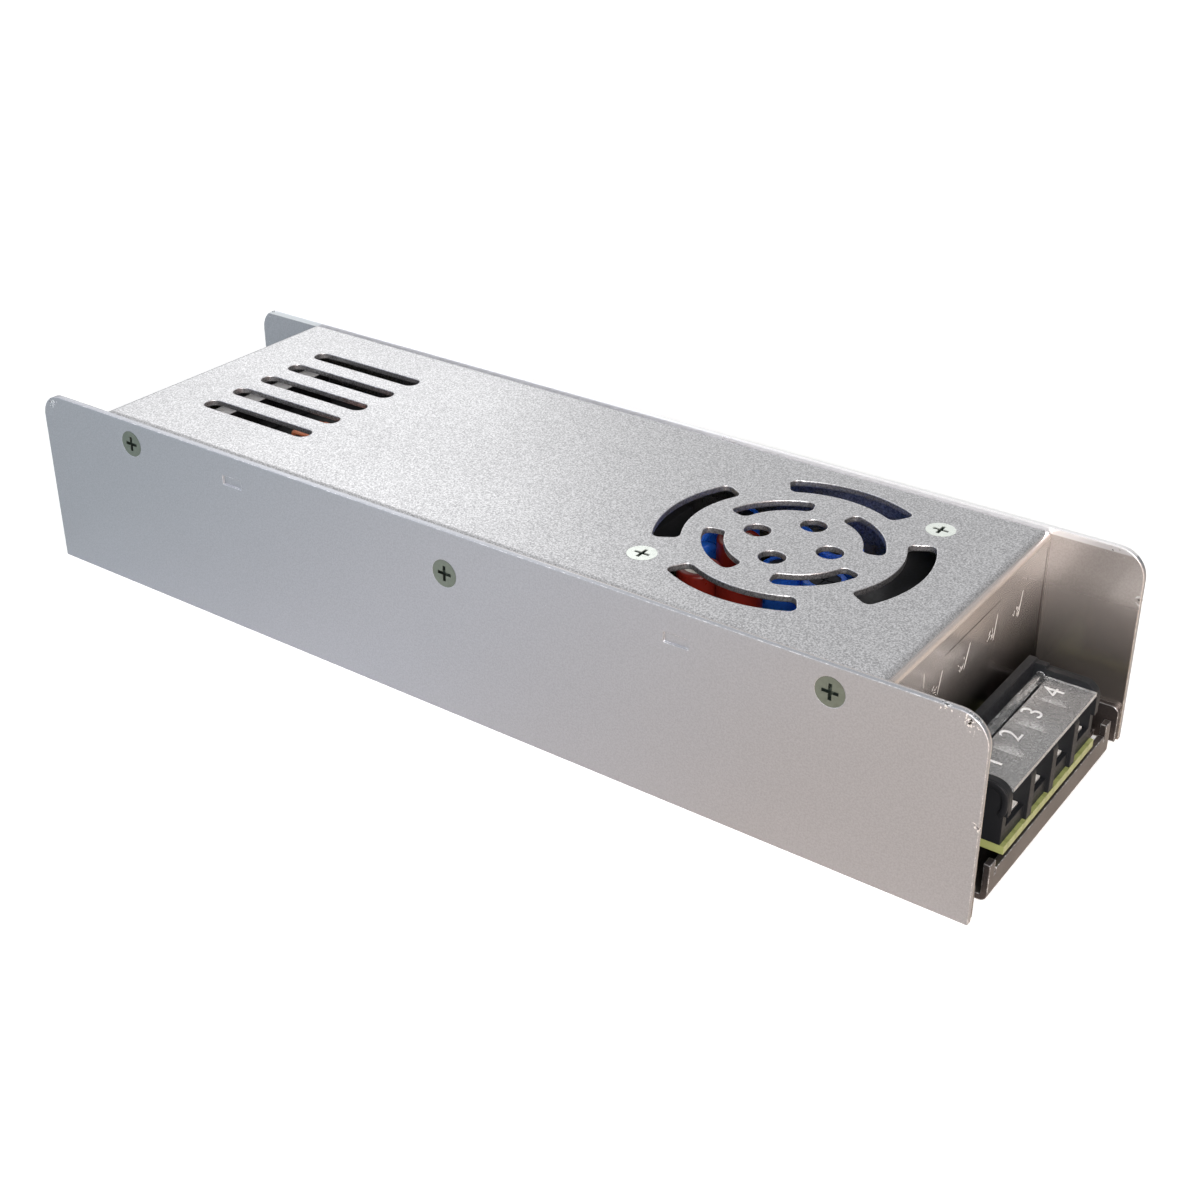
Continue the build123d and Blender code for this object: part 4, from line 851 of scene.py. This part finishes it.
strokePieces = []
for fromY, fromZ, toY, toZ in panelMarks["strokes"]:
    strokePieces.append(panelStroke(fromY, fromZ, toY, toZ, panelMarks["width"]))
for fromY, fromZ, toY, toZ in panelMarks["strokes"][:panelMarks["haired"]]:
    for _ in range(panelMarks["hairs"]):
        startY = fromY - random.uniform(*panelMarks["hairAcross"])
        startZ = fromZ + random.uniform(*panelMarks["hairUp"])
        lean = math.radians(random.uniform(*panelMarks["hairLean"]))
        length = random.uniform(*panelMarks["hairLength"])
        strokePieces.append(panelStroke(startY, startZ, startY + math.sin(lean) * length,
                                        startZ + math.cos(lean) * length, panelMarks["hairWidth"]))
brightLine = panelLine("bright scored line", panelMarks["dark"], panelMarks["light"], panelMarks["metallic"])
finishPiece(strokePieces, "end_panel_strokes", brightLine, "case")
# painted shade: dark lines in the crease and in the gap beside the far wall
shadeLineMaterial = panelLine("painted shade line", panelMarks["shadeLineDark"], panelMarks["shadeLineLight"],
                      panelMarks["shadeLineMetallic"])
finishPiece([panelStroke(*shadeMark[:4], shadeMark[4] * mm) for shadeMark in panelMarks["shadeLines"]],
            "end_panel_shade_lines", shadeLineMaterial, "case")
print("panel marked")

studio = {
    # the paper that the walls mirror: cool beside the input end, warm beside the output end
    "cool": "#dfe7e8", "warm": "#ebe0d3", "coolReach": (-0.04, -0.13), "warmReach": (-0.02, 0.07),
    "floor": "#f2f4f2", "floorLight": "#f8f8f8", "fibre": 10 * mm, "floorSize": 3.0, "floorRoughness": 0.9,
    "floorGloss": 0.1, "floorDrop": 0.05 * mm,
    # how much the camera's floor glows, from beside the part to far from it
    "whiten": (0.30, 1.0), "whitenReach": (0.12, 0.55), "world": 0.38,
    # what gloss reflects of the room, from its left to its right
    "roomLevels": (0.93, 0.46), "roomReach": (-0.35, 0.45), "aim": (0, 0, 0.02),
    "lamps": (
        # name, place, size, watts, colour
        ("high front panel", (0.32, -0.78, 0.72), 0.6, 4.2, "#ffffff"),
        ("camera side panel", (0.62, -0.72, 0.45), 0.35, 8.0, "#ffffff"),
        ("back left panel", (-0.93, 0.837, 0.69), 0.5, 1.3, "#ffffff"),
        ("front left panel", (-0.45, -0.50, 0.25), 0.4, 0.6, "#d8e2ff"),
        ("right panel", (0.55, -0.35, 0.25), 0.4, 1.8, "#ffe0d4"),
    ),
}


# Pale paper under the part. To the camera it whitens away from the part, and it keeps the shadow near it
def paleFloor():
    material, tree, shader, place = startMaterial("pale studio paper")
    fibre = addNode(tree, "ShaderNodeTexNoise", {"Scale": 1 / studio["fibre"], "Detail": 2.0},
                    {"Vector": place})
    plain = addNode(tree, "ShaderNodeMix",
                    {"data_type": "RGBA", 6: hexColour(studio["floor"]), 7: hexColour(studio["floorLight"])},
                    {0: fibre.outputs["Fac"]}).outputs[2]
    colour = plain
    for cast in ("cool", "warm"):
        side = placeRamp(tree, place, "X", *studio[cast + "Reach"])
        colour = addNode(tree, "ShaderNodeMix", {"data_type": "RGBA", 7: hexColour(studio[cast])},
                         {0: side, 6: colour}).outputs[2]
    (near, far), (low, high) = studio["whitenReach"], studio["whiten"]
    reach = addNode(tree, "ShaderNodeVectorMath", {"operation": "LENGTH"}, {0: place})
    white = addNode(tree, "ShaderNodeMapRange",
                    {"interpolation_type": "SMOOTHSTEP", 1: near, 2: far, 3: low, 4: high},
                    {0: reach.outputs["Value"]})
    path = addNode(tree, "ShaderNodeLightPath")
    seen = addNode(tree, "ShaderNodeMath", {"operation": "MULTIPLY"}, {0: white.outputs[0],
                                                                      1: path.outputs["Is Camera Ray"]})
    tone = addNode(tree, "ShaderNodeMix", {"data_type": "RGBA"},
                   {0: path.outputs["Is Camera Ray"], 6: colour, 7: plain})
    tree.links.new(tone.outputs[2], shader.inputs["Base Color"])
    tree.links.new(seen.outputs[0], shader.inputs["Emission Strength"])
    shader.inputs["Emission Color"].default_value = (1, 1, 1, 1)
    shader.inputs["Roughness"].default_value = studio["floorRoughness"]
    shader.inputs["Specular IOR Level"].default_value = studio["floorGloss"]
    return material


bpy.ops.object.select_all(action="DESELECT")
bpy.ops.mesh.primitive_grid_add(x_subdivisions=4, y_subdivisions=4, size=studio["floorSize"])
floor = bpy.context.object
floor.name = "studio_floor"
floor.data.transform(Matrix.Translation((0, 0, -studio["floorDrop"])))
floor.data.materials.append(paleFloor())

for name, place, size, watts, tint in studio["lamps"]:
    lampData = bpy.data.lights.new(name, "AREA")
    lampData.shape = "SQUARE"
    lampData.size = size
    lampData.energy = watts
    lampData.color = hexColour(tint)[:3]
    lamp = bpy.data.objects.new(name, lampData)
    bpy.context.scene.collection.objects.link(lamp)
    lamp.location = place
    aim = Vector(studio["aim"]) - Vector(place)
    lamp.rotation_euler = aim.to_track_quat("-Z", "Y").to_euler()

world = bpy.data.worlds.new("studio")
bpy.context.scene.world = world
world.use_nodes = True
worldTree = world.node_tree
worldTree.nodes.clear()
path = addNode(worldTree, "ShaderNodeLightPath")
direction = addNode(worldTree, "ShaderNodeSeparateXYZ",
                    links={0: addNode(worldTree, "ShaderNodeTexCoord").outputs["Generated"]})
room = addNode(worldTree, "ShaderNodeMapRange", {1: studio["roomReach"][0], 2: studio["roomReach"][1],
                                                 3: studio["roomLevels"][0], 4: studio["roomLevels"][1]},
               {0: direction.outputs["X"]})
dim = addNode(worldTree, "ShaderNodeMix", {2: studio["world"]},
              {0: path.outputs["Is Glossy Ray"], 3: room.outputs[0]})
seen = addNode(worldTree, "ShaderNodeMath", {"operation": "MAXIMUM"},
               {0: path.outputs["Is Camera Ray"], 1: path.outputs["Is Transmission Ray"]})
level = addNode(worldTree, "ShaderNodeMix", {3: 1.0}, {0: seen.outputs[0], 2: dim.outputs[0]})
sky = addNode(worldTree, "ShaderNodeBackground", {"Color": (1, 1, 1, 1)}, {"Strength": level.outputs[0]})
addNode(worldTree, "ShaderNodeOutputWorld", links={"Surface": sky.outputs[0]})

cameraView = {
    "azimuth": 35.298, "elevation": 27.891, "roll": 0.143,
    "place": (0.194635, -0.252761, 0.188595), "lens": 52.73, "shift": (-0.00699, -0.03844),
}
azimuth, elevation, roll = (math.radians(cameraView[k]) for k in ("azimuth", "elevation", "roll"))
forward = Vector((-math.sin(azimuth) * math.cos(elevation), math.cos(azimuth) * math.cos(elevation),
                  -math.sin(elevation)))
right = forward.cross(Vector((0, 0, 1))).normalized()
up = right.cross(forward)
rightRolled = right * math.cos(roll) + up * math.sin(roll)
upRolled = up * math.cos(roll) - right * math.sin(roll)
cameraData = bpy.data.cameras.new("photo view")
cameraData.sensor_width = 36
cameraData.sensor_fit = "HORIZONTAL"
cameraData.lens = cameraView["lens"]
cameraData.shift_x, cameraData.shift_y = cameraView["shift"]
cameraData.clip_start = 0.01
camera = bpy.data.objects.new("photo view", cameraData)
bpy.context.scene.collection.objects.link(camera)
turned = Matrix((rightRolled, upRolled, -forward)).transposed()
camera.matrix_world = Matrix.Translation(cameraView["place"]) @ turned.to_4x4()
bpy.context.scene.camera = camera
bpy.context.scene.view_settings.view_transform = "Standard"
print("studio ready")
